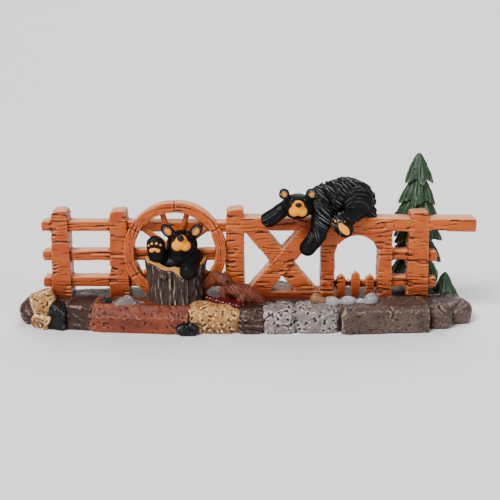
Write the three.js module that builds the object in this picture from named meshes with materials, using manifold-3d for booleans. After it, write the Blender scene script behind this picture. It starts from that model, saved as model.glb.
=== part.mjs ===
// A cast resin figurine: two black bears on a rustic timber fence that stands on a bed of rocks.
// Millimetres, +Z up, the front towards -Y. The origin is on the flat underside, midway along the bed.
import * as THREE from "three";
import { LoftGeometry } from "three/addons/geometries/LoftGeometry.js";
import { mergeVertices } from "three/addons/utils/BufferGeometryUtils.js";
import Module from "manifold-3d";

const wasm = await Module();
wasm.setup();

// Rock bed
const bedLength = 278;
const bedFront = 35; // origin to the front edge
const bedBack = 27; // origin to the back edge
const groundHeight = 14; // underside to the ground that everything stands on
const frontRockHeight = 16.5;
const backRockHeight = 14.5;
const frontRockDepth = 24;
const backRockDepth = 20;

// Timber: every board is sawn from one thickness and stands a little into the ground
const boardThickness = 14.5;
const boardFace = -7; // front face of the fence
const boardSink = 3;
const edgeRound = 1.1;
const postTopRadius = 3.2;
const grainDepth = 0.7;
const grainWidth = 1.1;

// Split-rail fence at the left: two posts, and three rails that run past the outer post and on, behind
// the wheel, into the crossbuck's end post
const bayLeft = -118; // outer edge of the left post
const bayPostWidth = 10.5;
const bayClearWidth = 25; // between the posts
const bayTop = 69.5;
const bayRails = [21.5, 38, 55.5]; // undersides
const railHeight = 6.2;
const railSetBack = 2;
const railOverrun = 6; // past the outer post

// Wagon wheel that leans on the rails, round the first bear
const wheelX = -43;
const wheelZ = 44;
const wheelRadius = 31;
const wheelRim = 6.5; // width of the rim
const wheelThickness = 10;
const wheelProud = 3; // the wheel stands forward of the fence
const wheelSegments = 6; // curved lengths that the rim is made up of
const spokeCount = 10;
const spokeRadius = 2.1;
const hubRadius = 6.5;

// Top rail from the crossbuck's end post to the right end
const beamRight = 139;
const beamTop = 64.8;
const beamHeight = 7.8;

// Crossbuck bay between the wheel and the arch: an end post, a sill and two crossed boards
const crossPostLeft = -12;
const crossPostWidth = 10.5;
const crossPostTop = 70.5;
const crossBoardWidth = 9.5;
const crossSetBack = 1.5; // of the board that runs behind
const sillHeight = 4.6;

// Round arch with a low picket gate
const archOpeningLeft = 54;
const archOpeningWidth = 26.3;
const archOpeningTop = 54;
const archLeg = 8.5;
const archForward = 1;
const picketCount = 3;
const picketWidth = 5.4;
const picketHeight = 17;
const picketThickness = 5;

// End post past the arch, which the top rail and two short rails run through
const endPostLeft = 99;
const endPostWidth = 11.5;
const endPostTop = 69;
const endRails = [21.5, 38]; // undersides

// Hollow stump that holds the first bear
const stumpX = -42.5;
const stumpY = -6.5;
const stumpRadius = 17.4;
const stumpFlare = 1.5;
const stumpRimRadius = 19.4;
const stumpTop = 42;
const stumpWall = 3.4;
const stumpHollow = 12;
const stumpSides = 22;
const stumpBreak = 7; // how far the rim is broken down at the front

// Bears: each is modelled from its own head, in shares of the head's width
const sittingHeadRise = 9; // middle of the head above the stump's rim
const sittingHead = [-38.4, -12.5, stumpTop + sittingHeadRise];
const sittingHeadWidth = 19.6;
const lyingHeadRise = 9; // middle of the head above the top rail
const lyingHead = [30.8, -14, beamTop + lyingHeadRise];
const lyingHeadWidth = 17.8;
const furDepth = 0.055; // depth of a carved lock, as a share of the body's radius

// Trees
const treeX = 106;
const treeY = 14;
const treeTop = 101.5;
const treeWidth = 31;
const treeTiers = 7;
const treeTip = 16; // height of the topmost tier
const saplingX = 123;
const saplingY = 10;
const saplingTop = 28;
const saplingWidth = 18;
const saplingTiers = 2;
const saplingTip = 8;

// Small animal with its berries
const squirrelX = -2.5;
const squirrelY = -17;
const squirrelLength = 30;
const berryRadius = 1.9;
const berryCount = 8;

// Loose stones: a grey pyramid in front of the rail bay, a little dark one beside it, a small black one
// at the foot of the bed, and two behind the fence
const pyramid = { at: [-71, -23, 16.5], size: [21, 10, 12] };
const darkStone = { at: [-84, -20, 15.8], size: [7, 6, 7] };
const blackStone = { at: [-34.5, -34.5, 3], size: [12.5, 6.5, 8] };
const backStone = { at: [15, 11, 15], size: [30, 14, 8] };
const archStone = { at: [38, -2, 15], size: [9, 8, 6] };

// Pebbles along the foot of the arch
const pebbleStart = 39.5;
const pebbleWidths = [7, 4.5, 9, 5.5, 9, 5, 9.5];
const pebbleY = -17.5;

const groundInset = 7; // the ground ends this far inside the outer rocks
const underside = 0;
const boardFoot = groundHeight - boardSink;
const bayClearLeft = bayLeft + bayPostWidth;
const bayRightPost = bayClearLeft + bayClearWidth;
const bayRight = bayRightPost + bayPostWidth;
const beamUnderside = beamTop - beamHeight;
const archLeft = archOpeningLeft - archLeg;
const archOpeningRight = archOpeningLeft + archOpeningWidth;
const archRight = archOpeningRight + archLeg;
const railsEnd = crossPostLeft + 2; // inside the crossbuck's end post

// A repeatable number from 0 to 1 for each seed.
function chance(seed) {
  const wave = Math.sin(seed * 12.9898 + 4.1) * 43758.5453;
  return wave - Math.floor(wave);
}

// A smooth repeatable bump from -1 to 1 over space.
function wobble(x, y, z, seed) {
  const a = Math.sin(x * 1.7 + seed * 3.1) * Math.cos(y * 1.9 + seed * 1.3);
  const b = Math.sin(z * 2.3 + x * 1.1 + seed * 5.7) * Math.cos(y * 2.7 - seed);
  return (a + b) / 2;
}

// A closed geometry as a solid that can be joined and cut.
function solidOf(geometry) {
  const bare = new THREE.BufferGeometry();
  bare.setAttribute("position", geometry.attributes.position);
  bare.setIndex(geometry.index);
  const merged = mergeVertices(bare, 1e-4);
  const vertProperties = merged.attributes.position.array;
  const triVerts = new Uint32Array(merged.index.array);
  return new wasm.Manifold(new wasm.Mesh({ numProp: 3, vertProperties, triVerts }));
}

// A skin through cross sections, closed at both ends and facing outwards.
function loft(sections) {
  const middle = (section) => section.reduce((sum, point) => sum.add(point), new THREE.Vector3());
  const [first, second] = sections;
  const onward = middle(second).sub(middle(first));
  const facing = new THREE.Vector3();
  first.forEach((point, i) => facing.add(point.clone().cross(first[(i + 1) % first.length])));
  const ordered = facing.dot(onward) < 0 ? sections.map((section) => [...section].reverse()) : sections;
  return solidOf(new LoftGeometry(ordered, { capStart: true, capEnd: true }));
}

// Many solids as one.
function joined(solids) {
  return solids.reduce((all, next) => all.add(next));
}

// A board whose outline is drawn as seen from the front, with softened edges.
function board(shape, face, thickness, curveSegments = 3, round = edgeRound) {
  const geometry = new THREE.ExtrudeGeometry(shape, {
    depth: thickness - 2 * round,
    bevelEnabled: true,
    bevelThickness: round,
    bevelSize: round,
    bevelOffset: -round,
    bevelSegments: 1,
    curveSegments,
  });
  geometry.rotateX(Math.PI / 2);
  geometry.translate(0, face + thickness - round, 0);
  return solidOf(geometry);
}

// A closed outline through corner points, each corner rounded.
function roundedOutline(corners, radius) {
  const outline = new THREE.Shape();
  const count = corners.length;
  const points = corners.map(([x, z]) => new THREE.Vector2(x, z));
  for (let i = 0; i < count; i++) {
    const corner = points[i];
    const before = points[(i + count - 1) % count];
    const after = points[(i + 1) % count];
    const inwards = before.clone().sub(corner);
    const outwards = after.clone().sub(corner);
    const bend = Math.abs(Math.acos(inwards.dot(outwards) / (inwards.length() * outwards.length())));
    const cut = radius / Math.tan(bend / 2);
    const cutBefore = Math.min(cut, inwards.length() * 0.45);
    const cutAfter = Math.min(cut, outwards.length() * 0.45);
    const start = corner.clone().lerp(before, cutBefore / corner.distanceTo(before));
    const end = corner.clone().lerp(after, cutAfter / corner.distanceTo(after));
    if (i === 0) outline.moveTo(start.x, start.y);
    else outline.lineTo(start.x, start.y);
    outline.quadraticCurveTo(corner.x, corner.y, end.x, end.y);
  }
  return outline;
}

// A straight board drawn by its corners.
function plank(corners, face, thickness, round = edgeRound) {
  const outline = new THREE.Shape(corners.map(([x, z]) => new THREE.Vector2(x, z)));
  return board(outline, face, thickness, 1, round);
}

// A stone: a ball squared by its blockiness (2 is round), with an uneven skin.
function stone({ at, size, seed, blockiness = 3.4, cells = [3, 2, 2], turn = 0, lean = 0, rough = 0.07 }) {
  const geometry = new THREE.BoxGeometry(2, 2, 2, ...cells);
  const position = geometry.attributes.position;
  for (let i = 0; i < position.count; i++) {
    const [x, y, z] = [position.getX(i), position.getY(i), position.getZ(i)];
    const power = Math.abs(x) ** blockiness + Math.abs(y) ** blockiness + Math.abs(z) ** blockiness;
    const reach = power ** (-1 / blockiness) * (1 + rough * wobble(x * 2, y * 2, z * 2, seed));
    position.setXYZ(i, (x * reach * size[0]) / 2, (y * reach * size[1]) / 2, (z * reach * size[2]) / 2);
  }
  geometry.rotateY(lean);
  geometry.rotateZ(turn);
  geometry.translate(...at);
  return solidOf(geometry);
}

// A rounded lump with three half-widths, in 20, 80 or 120 faces.
function lump(at, half, detail = 1, turn = [0, 0, 0]) {
  const geometry = detail < 2 ? new THREE.IcosahedronGeometry(1, detail) : new THREE.SphereGeometry(1, 10, 7);
  geometry.scale(...half);
  geometry.rotateX(turn[0]);
  geometry.rotateY(turn[1]);
  geometry.rotateZ(turn[2]);
  geometry.translate(...at);
  return solidOf(geometry);
}

// A rounded limb through points, each with its own radius. Carved limbs have lengthwise locks.
function limb(points, radii, { sides = 7, rings = 4, carve = 0, flat = 1 } = {}) {
  const route = new THREE.CatmullRomCurve3(points.map((point) => new THREE.Vector3(...point)));
  const frames = route.computeFrenetFrames(rings, false);
  const last = radii.length - 1;
  const sections = [];
  for (let ring = 0; ring <= rings; ring++) {
    const share = ring / rings;
    const centre = route.getPoint(share);
    const step = Math.min(Math.floor(share * last), last - 1);
    const radius = THREE.MathUtils.lerp(radii[step], radii[step + 1], share * last - step);
    const tangent = route.getTangent(share);
    const across = new THREE.Vector3(0, 1, 0).addScaledVector(tangent, -tangent.y).normalize();
    const up = new THREE.Vector3().crossVectors(tangent, across).normalize();
    const twist = carve > 0 ? (ring % 2) * 0.5 : 0;
    const section = [];
    for (let side = 0; side < sides; side++) {
      const angle = ((side + twist) / sides) * 2 * Math.PI;
      const lock = 1 - carve * (side % 2);
      const offset = across.clone().multiplyScalar(Math.cos(angle) * radius * lock * flat);
      offset.addScaledVector(up, Math.sin(angle) * radius * lock);
      section.push(centre.clone().add(offset));
    }
    sections.push(section);
  }
  const tip = (section, centre, tangent, radius) =>
    section.map((point) => point.clone().lerp(centre, 0.45).addScaledVector(tangent, radius * 0.55));
  const start = route.getPoint(0);
  const end = route.getPoint(1);
  const backwards = route.getTangent(0).negate();
  sections.unshift(tip(sections[0], start, backwards, radii[0]));
  sections.push(tip(sections[sections.length - 1], end, route.getTangent(1), radii[last]));
  return loft(sections);
}

// Front or back edge of the bed at x: a rounded outline, fuller at the right.
function bedEdge(x, reach, inset = 0) {
  const share = Math.min(Math.abs(x) / (bedLength / 2 - inset), 1);
  const fullness = x < 0 ? 2.1 : 3;
  return (reach - inset) * (1 - share ** fullness) ** (1 / fullness);
}

// Cutter for one grain line: a long thin sliver on a board's face, tapering to both ends.
function grainLine(x, z, length, face, seed) {
  const sliver = new THREE.OctahedronGeometry(1);
  sliver.scale(length / 2, grainDepth, grainWidth * 0.6);
  sliver.rotateY(0.12 * (chance(seed) - 0.5));
  sliver.translate(x, face, z);
  return solidOf(sliver);
}

// Grain lines scattered up a band of boards.
function grainBand(xFrom, xTo, zFrom, zTo, count, face, seed) {
  const lines = [];
  for (let i = 0; i < count; i++) {
    const length = (xTo - xFrom) * (0.5 + 0.35 * chance(seed + i * 1.7));
    const x = (xFrom + xTo) / 2 + (chance(seed + i * 2.9) - 0.5) * (xTo - xFrom - length);
    const z = zFrom + ((i + 0.25 + 0.5 * chance(seed + i * 0.7)) / count) * (zTo - zFrom);
    lines.push(grainLine(x, z, length, face, seed + i));
  }
  return lines;
}

// Cutter for a knot: a shallow oval ring on a board's face.
function knot(x, z, face, radius = 2.6) {
  const geometry = new THREE.TorusGeometry(radius, grainWidth / 2, 3, 8);
  geometry.rotateX(Math.PI / 2);
  geometry.scale(1.5, 1, 0.8);
  geometry.translate(x, face, z);
  return solidOf(geometry);
}

// The ground inside the rocks, and the rocks round it.
function rockBed() {
  const outline = new THREE.Shape();
  const steps = 8;
  const half = bedLength / 2 - groundInset;
  for (let i = 0; i <= steps; i++) {
    const x = -half * Math.cos((i / steps) * Math.PI);
    if (i === 0) outline.moveTo(x, 0);
    else outline.lineTo(x, -bedEdge(x, bedFront, groundInset));
  }
  for (let i = steps - 1; i > 0; i--) {
    const x = -half * Math.cos((i / steps) * Math.PI);
    outline.lineTo(x, bedEdge(x, bedBack, groundInset));
  }
  const ground = new THREE.ExtrudeGeometry(outline, { depth: groundHeight, bevelEnabled: false });
  const stones = [solidOf(ground)];

  // Front row: each stone reaches from one joint to the next along the edge.
  const half1 = bedLength / 2;
  const jointShares = [-0.84, -0.8, -0.67, -0.645, -0.22, -0.02, 0.07, 0.225, 0.385, 0.77, 0.9];
  const joints = jointShares.map((share) => share * half1);
  const frontHeights = [0.55, 0.9, 0.93, 1.02, 1.02, 0.92, 1, 1.02, 1, 0.96];
  for (let i = 0; i + 1 < joints.length; i++) {
    const middle = (joints[i] + joints[i + 1]) / 2;
    const width = Math.max(joints[i + 1] - joints[i], 6) + 1.5;
    const height = frontRockHeight * frontHeights[i];
    const edge = -bedEdge(middle, bedFront);
    const fall = bedEdge(joints[i], bedFront) - bedEdge(joints[i + 1], bedFront);
    const slope = fall / (joints[i + 1] - joints[i]);
    const cells = width > 40 ? [4, 2, 1] : [2, 2, 1];
    stones.push(
      stone({
        at: [middle, edge + frontRockDepth / 2, height / 2 - 0.5],
        size: [width * 1.05, frontRockDepth, height + 1],
        seed: i + 2,
        blockiness: width > 40 ? 7 : 4.5,
        cells,
        turn: Math.atan(slope) * 0.8,
        rough: width > 40 ? 0.025 : 0.05,
      }),
    );
  }

  // Back row, plainer.
  const backCount = 7;
  for (let i = 0; i < backCount; i++) {
    const x = ((i + 0.5) / backCount - 0.5) * bedLength * 0.88;
    const width = (bedLength * 0.88) / backCount + 2;
    const height = backRockHeight * (0.88 + 0.18 * chance(i + 31));
    stones.push(
      stone({
        at: [x, bedEdge(x, bedBack) - backRockDepth / 2, height / 2 - 0.5],
        size: [width, backRockDepth, height + 1],
        seed: i + 40,
        blockiness: 4,
        cells: [2, 1, 1],
        turn: Math.atan((x > 0 ? -0.5 : 0.5) * Math.abs(x / half1) ** 3),
      }),
    );
  }

  // Rounded stones at the two ends.
  const ends = [
    { at: [-half1 + 13.5, -1, 6.2], size: [27, 33, 15.5], seed: 61, blockiness: 2.8, cells: [3, 2, 2] },
    { at: [-half1 + 12, -11.5, 14.5], size: [15, 10, 13], seed: 62, blockiness: 4, lean: -0.35 },
    { at: [-half1 + 12.5, -15, 3.2], size: [13, 8, 7], seed: 63, blockiness: 3, cells: [2, 2, 1] },
    { at: [-half1 + 24.5, -17.5, 7.6], size: [10, 11, 13], seed: 64, blockiness: 3, cells: [2, 2, 2] },
    { at: [half1 - 22.5, -18, 6.6], size: [17, 17, 15], seed: 65, blockiness: 2.8, cells: [2, 2, 2] },
    { at: [half1 - 9.5, -3, 5.6], size: [19, 26, 13.5], seed: 66, blockiness: 2.8, cells: [2, 3, 2] },
  ];
  for (const end of ends) stones.push(stone(end));
  return joined(stones);
}

// Loose stones lying on the bed.
function looseStones() {
  const stones = [
    stone({ ...pyramid, seed: 71, blockiness: 1.5, cells: [2, 2, 2] }),
    stone({ ...darkStone, seed: 72, blockiness: 2.4, cells: [2, 2, 1] }),
    stone({ ...blackStone, seed: 73, blockiness: 2.3, cells: [2, 2, 2] }),
    stone({ ...backStone, seed: 74, blockiness: 3, cells: [3, 2, 1] }),
    stone({ ...archStone, seed: 76, blockiness: 2.6, cells: [2, 2, 1] }),
  ];
  let x = pebbleStart;
  pebbleWidths.forEach((width, i) => {
    const tall = 5.5 + 2.6 * chance(i + 80);
    stones.push(
      stone({
        at: [x + width / 2, pebbleY - 1.5 * chance(i + 3), groundHeight + tall * 0.42],
        size: [width, width * 0.85, tall],
        seed: 81 + i,
        blockiness: 2.6,
        cells: [2, 2, 1],
      }),
    );
    x += width * 0.92;
  });
  return joined(stones);
}

// Split-rail fence: two posts, and the rails that run through them and on to the crossbuck.
function railBay() {
  const parts = [];
  for (const left of [bayLeft, bayRightPost]) {
    const corners = [
      [left - 1.2, boardFoot],
      [left + bayPostWidth + 1.2, boardFoot],
      [left + bayPostWidth - 0.4, bayTop],
      [left + 0.4, bayTop - 1],
    ];
    parts.push(board(roundedOutline(corners, postTopRadius), boardFace, boardThickness, 2));
  }
  for (const bottom of bayRails) {
    const tilt = 0.8 * Math.sin(bottom);
    parts.push(
      plank(
        [
          [bayLeft - railOverrun, bottom - tilt],
          [railsEnd, bottom],
          [railsEnd, bottom + railHeight],
          [bayLeft - railOverrun, bottom + railHeight - tilt],
        ],
        boardFace + railSetBack,
        boardThickness - 2 * railSetBack,
      ),
    );
  }
  const back = boardFace + boardThickness;
  const lines = [
    ...grainBand(bayLeft, bayClearLeft, groundHeight + 3, bayTop, 6, boardFace, 1),
    ...grainBand(bayRightPost, bayRight, groundHeight + 4, bayTop, 4, boardFace, 20),
    ...grainBand(bayLeft, bayClearLeft, groundHeight + 6, bayTop, 1, back, 33),
  ];
  return joined(parts).subtract(joined(lines));
}

// Wheel: a wooden rim made up of curved lengths, turned spokes and a hub.
function wheel() {
  const outline = new THREE.Shape();
  outline.absarc(wheelX, wheelZ, wheelRadius, 0, 2 * Math.PI, false);
  const inside = wheelRadius - wheelRim;
  const hole = new THREE.Path();
  hole.absarc(wheelX, wheelZ, inside, 0, 2 * Math.PI, true);
  outline.holes.push(hole);
  const face = boardFace - wheelProud;
  const ring = board(outline, face, wheelThickness, 11);
  const cuts = [];
  for (let i = 0; i < wheelSegments; i++) {
    const joint = new THREE.BoxGeometry(2 * wheelRim, 2 * grainDepth, grainWidth * 0.7);
    joint.translate(wheelRadius - wheelRim / 2, 0, 0);
    joint.rotateY(-((i + 0.5) / wheelSegments) * 2 * Math.PI);
    joint.translate(wheelX, face, wheelZ);
    cuts.push(solidOf(joint));
  }
  const centre = [wheelX, face + wheelThickness / 2, wheelZ];
  const hub = new THREE.CylinderGeometry(hubRadius, hubRadius, wheelThickness, 8);
  hub.translate(...centre);
  const parts = [ring.subtract(joined(cuts)), solidOf(hub)];
  for (let i = 0; i < spokeCount; i++) {
    const spoke = new THREE.CylinderGeometry(spokeRadius * 0.85, spokeRadius, inside + 1, 5);
    spoke.rotateX(Math.PI / 2);
    spoke.translate(0, 0, (inside + 1) / 2);
    spoke.rotateY(((i + 0.5) / spokeCount) * 2 * Math.PI);
    spoke.translate(...centre);
    parts.push(solidOf(spoke));
  }
  return joined(parts);
}

// Top rail, from the crossbuck's end post to the right end.
function topRail() {
  const left = railsEnd;
  const rail = plank(
    [
      [left, beamUnderside],
      [beamRight, beamUnderside - 0.8],
      [beamRight, beamTop - 0.6],
      [left, beamTop],
    ],
    boardFace,
    boardThickness,
  );
  const back = boardFace + boardThickness;
  const lines = [
    ...grainBand(archLeft, archRight + 20, beamUnderside + 1, beamTop - 1, 2, boardFace, 64),
    ...grainBand(archRight + 14, beamRight, beamUnderside + 1, beamTop - 1, 2, boardFace, 68),
    ...grainBand(left, beamRight - 20, beamUnderside + 1, beamTop, 2, back, 66),
  ];
  return rail.subtract(joined(lines));
}

// Crossbuck bay: an end post, a sill, and two boards that cross between the rail and the sill.
function crossBay() {
  const postCorners = [
    [crossPostLeft - 1, boardFoot],
    [crossPostLeft + crossPostWidth + 1, boardFoot],
    [crossPostLeft + crossPostWidth, crossPostTop],
    [crossPostLeft, crossPostTop - 1.2],
  ];
  const parts = [board(roundedOutline(postCorners, postTopRadius), boardFace, boardThickness, 2)];
  const clearLeft = crossPostLeft + crossPostWidth;
  const low = groundHeight;
  const high = beamUnderside + 2;
  const run = archLeft - clearLeft;
  const rise = high - low;
  const spread = crossBoardWidth * Math.hypot(run, rise) / rise; // a board's width along the rail
  const near = clearLeft - 2;
  const far = archLeft + 2;
  const rising = [
    [near, low],
    [near + spread, low],
    [far, high],
    [far - spread, high],
  ];
  const falling = [
    [far - spread, low],
    [far, low],
    [near + spread, high],
    [near, high],
  ];
  parts.push(plank(rising, boardFace, boardThickness));
  parts.push(plank(falling, boardFace + crossSetBack, boardThickness - 2 * crossSetBack));
  parts.push(
    plank(
      [
        [near, boardFoot],
        [far, boardFoot],
        [far, groundHeight + sillHeight],
        [near, groundHeight + sillHeight],
      ],
      boardFace,
      boardThickness,
    ),
  );
  const middle = (near + far) / 2;
  const crossing = (low + high) / 2;
  const back = boardFace + boardThickness;
  const lines = [
    ...grainBand(crossPostLeft, clearLeft, groundHeight + 12, crossPostTop, 4, boardFace, 70),
    ...grainBand(middle - 8, middle + 9, crossing - 7, crossing + 8, 3, boardFace, 76),
    ...grainBand(near + 3, near + 16, low + 4, low + 12, 2, boardFace, 82),
    knot(middle - 1, crossing, boardFace),
    ...grainBand(crossPostLeft, clearLeft, groundHeight + 6, crossPostTop, 1, back, 88),
  ];
  return joined(parts).subtract(joined(lines));
}

// Arch: a gateway with a round head under the rail, and a low picket gate in its opening.
function archGate() {
  const holeRadius = archOpeningWidth / 2;
  const springing = archOpeningTop - holeRadius;
  const outer = new THREE.Shape();
  outer.moveTo(archLeft, boardFoot);
  outer.lineTo(archOpeningLeft, boardFoot);
  outer.lineTo(archOpeningLeft, springing);
  outer.absarc(archOpeningLeft + holeRadius, springing, holeRadius, Math.PI, 0, true);
  outer.lineTo(archOpeningRight, boardFoot);
  outer.lineTo(archRight, boardFoot);
  outer.lineTo(archRight, beamTop);
  outer.lineTo(archLeft, beamTop);
  const face = boardFace - archForward;
  const parts = [board(outer, face, boardThickness, 6)];
  const pitch = archOpeningWidth / picketCount;
  const gateFace = face + 3;
  for (let i = 0; i < picketCount; i++) {
    const middle = archOpeningLeft + (i + 0.5) * pitch;
    const top = groundHeight + picketHeight - 2 * Math.abs(i - (picketCount - 1) / 2);
    const corners = [
      [middle - picketWidth / 2, boardFoot],
      [middle + picketWidth / 2, boardFoot],
      [middle + picketWidth / 2, top - 2.4],
      [middle, top],
      [middle - picketWidth / 2, top - 2.4],
    ];
    parts.push(plank(corners, gateFace, picketThickness, 0.7));
  }
  const gateRail = [
    [archOpeningLeft - 2, groundHeight + 6],
    [archOpeningRight + 2, groundHeight + 6],
    [archOpeningRight + 2, groundHeight + 10],
    [archOpeningLeft - 2, groundHeight + 10],
  ];
  parts.push(plank(gateRail, gateFace + picketThickness - 1.5, picketThickness, 0.7));
  const back = face + boardThickness;
  const lines = [
    ...grainBand(archLeft, archOpeningLeft, groundHeight + 3, archOpeningTop, 3, face, 100),
    ...grainBand(archOpeningRight, archRight, groundHeight + 3, archOpeningTop, 3, face, 106),
    ...grainBand(archLeft + 8, archRight - 8, archOpeningTop + 1, beamTop, 2, face, 112),
    ...grainBand(archLeft, archOpeningLeft, groundHeight, beamTop, 1, back, 116),
  ];
  return joined(parts).subtract(joined(lines));
}

// End post, with two short rails from the arch that run through it as the top rail does.
function endBay() {
  const right = endPostLeft + endPostWidth;
  const corners = [
    [endPostLeft - 1, boardFoot],
    [right + 1, boardFoot],
    [right, endPostTop],
    [endPostLeft, endPostTop - 1],
  ];
  const parts = [board(roundedOutline(corners, postTopRadius), boardFace, boardThickness, 2)];
  for (const bottom of endRails) {
    const corners = [
      [archRight - 3, bottom],
      [right + railOverrun, bottom - 0.6],
      [right + railOverrun, bottom + railHeight - 0.6],
      [archRight - 3, bottom + railHeight],
    ];
    parts.push(plank(corners, boardFace + railSetBack, boardThickness - 2 * railSetBack));
  }
  const back = boardFace + boardThickness;
  const lines = [
    ...grainBand(endPostLeft, right, groundHeight + 3, endPostTop, 3, boardFace, 146),
    ...grainBand(endPostLeft, right, groundHeight + 6, endPostTop, 1, back, 152),
  ];
  return joined(parts).subtract(joined(lines));
}

// Stump: ridged bark, a hollow top and a rim broken down at the front.
function stump() {
  const ring = (z, radius, ridge, lift = 0) => {
    const section = [];
    for (let i = 0; i < stumpSides; i++) {
      const angle = (i / stumpSides) * 2 * Math.PI;
      const reach = radius * (1 - ridge * (i % 2)) * (1 + 0.02 * Math.sin(3 * angle + z));
      const rise = lift * Math.sin(5 * angle) * 0.6;
      section.push(
        new THREE.Vector3(stumpX + reach * Math.cos(angle), stumpY + reach * Math.sin(angle), z + rise),
      );
    }
    return section;
  };
  const rimInside = stumpRimRadius - stumpWall;
  const sections = [
    ring(boardFoot - 1, stumpRadius + stumpFlare, 0.06),
    ring(groundHeight + 4, stumpRadius, 0.07),
    ring(groundHeight + 14, stumpRadius - 0.4, 0.08),
    ring(stumpTop - 7, stumpRadius + 0.3, 0.07),
    ring(stumpTop - 1.6, stumpRimRadius, 0.03, 1),
    ring(stumpTop, stumpRimRadius - 1, 0.02, 1),
  ];
  const floor = ring(stumpTop - stumpHollow, rimInside - 3, 0.02);
  const mouth = ring(stumpTop + 2, rimInside, 0.02);
  const hollow = loft([floor, mouth]);
  const body = loft(sections).subtract(hollow);
  const wedge = new THREE.ConeGeometry(13, 2 * stumpBreak, 4, 1);
  wedge.rotateX(Math.PI);
  wedge.scale(1, 1.4, 1);
  wedge.rotateX(Math.PI / 2);
  wedge.scale(1, 1, 1.1);
  wedge.translate(stumpX + 1, stumpY - stumpRadius - 2, stumpTop + 1);
  return body.subtract(solidOf(wedge));
}

// A bear's head facing the front: skull, cheeks, muzzle with two lobes, nose and cupped ears.
function bearHead([x, y, z], width, tilt) {
  const w = width / 2;
  const at = (dx, dy, dz) => [
    x + w * (dx * Math.cos(tilt) + dz * Math.sin(tilt)),
    y + w * dy,
    z + w * (dz * Math.cos(tilt) - dx * Math.sin(tilt)),
  ];
  const half = (a, b, c) => [a * w, b * w, c * w];
  const parts = [
    lump(at(0, 0, 0), half(1, 0.9, 0.86), 2),
    lump(at(-0.27, -0.82, -0.3), half(0.37, 0.42, 0.38), 1),
    lump(at(0.27, -0.82, -0.3), half(0.37, 0.42, 0.38), 1),
    lump(at(0, -0.78, 0.1), half(0.36, 0.42, 0.5), 1),
    lump(at(0, -1.22, 0.2), half(0.21, 0.18, 0.17), 0),
  ];
  for (const side of [-1, 1]) {
    const ear = lump(at(side * 0.86, 0.05, 0.79), half(0.36, 0.22, 0.36), 1);
    parts.push(ear.subtract(lump(at(side * 0.88, -0.18, 0.8), half(0.22, 0.14, 0.22), 0)));
  }
  return joined(parts);
}

// The bear that sits in the stump, waving one paw, with the other over the rim.
function sittingBear() {
  const [x, y, z] = sittingHead;
  const w = sittingHeadWidth / 2;
  const at = (dx, dy, dz) => [x + dx * w, y + dy * w, z + dz * w];
  const parts = [
    bearHead(sittingHead, sittingHeadWidth, 0.05),
    lump(at(-0.25, 0.35, -1.15), [w * 1.38, w * 0.95, w * 1.1], 1),
    limb([at(-1.1, 0.2, -1.0), at(-1.5, -0.45, -0.85), at(-1.62, -0.75, -0.1)], [5, 4.6, 4.4]),
    lump(at(-1.62, -0.8, 0.08), [w * 0.58, w * 0.34, w * 0.56], 1),
    limb([at(0.75, 0, -0.75), at(0.72, -1.0, -0.9), at(0.45, -1.32, -1.7)], [5, 4.8, 4.9]),
  ];
  return joined(parts);
}

// The bear that lies along the beam, its arms and one hind foot hanging over the front.
function lyingBear() {
  const [x, y, z] = lyingHead;
  const w = lyingHeadWidth / 2;
  const at = (dx, dy, dz) => [x + dx * w, y + dy * w, z + dz * w];
  const parts = [
    bearHead(lyingHead, lyingHeadWidth, -0.05),
    limb(
      [at(0.7, 0.8, 0.1), at(1.9, 1.35, 0.12), at(3.2, 1.6, 0.26), at(4.15, 1.65, 0.1), at(4.6, 1.7, -0.25)],
      [7.5, 10.2, 12.2, 10, 5.5],
      { sides: 12, rings: 6, carve: furDepth, flat: 0.86 },
    ),
    limb(
      [at(1.35, 0.35, 0.35), at(1.55, 0.05, -0.9), at(1.3, -0.2, -1.9), at(0.68, -0.3, -2.75)],
      [7.2, 6, 5.4, 5],
      { sides: 8, rings: 5, carve: furDepth },
    ),
    limb([at(-0.5, 0.35, 0), at(-1.25, 0.3, -0.55), at(-1.85, 0.25, -0.95)], [4.8, 4.6, 5]),
    lump(at(4.0, 0.75, 0.05), [w * 1.05, w * 0.75, w * 1.05], 1),
    limb([at(3.9, 0.4, -0.5), at(3.3, 0.05, -0.85), at(3.05, -0.15, -1.1)], [5.2, 5, 4.6]),
    lump(at(2.95, -0.3, -1.27), [w * 0.66, w * 0.42, w * 0.86], 1, [0, -0.56, 0]),
    lump(at(5.0, 1.4, -0.8), [w * 0.36, w * 0.36, w * 0.45], 0),
  ];
  return joined(parts);
}

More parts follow.
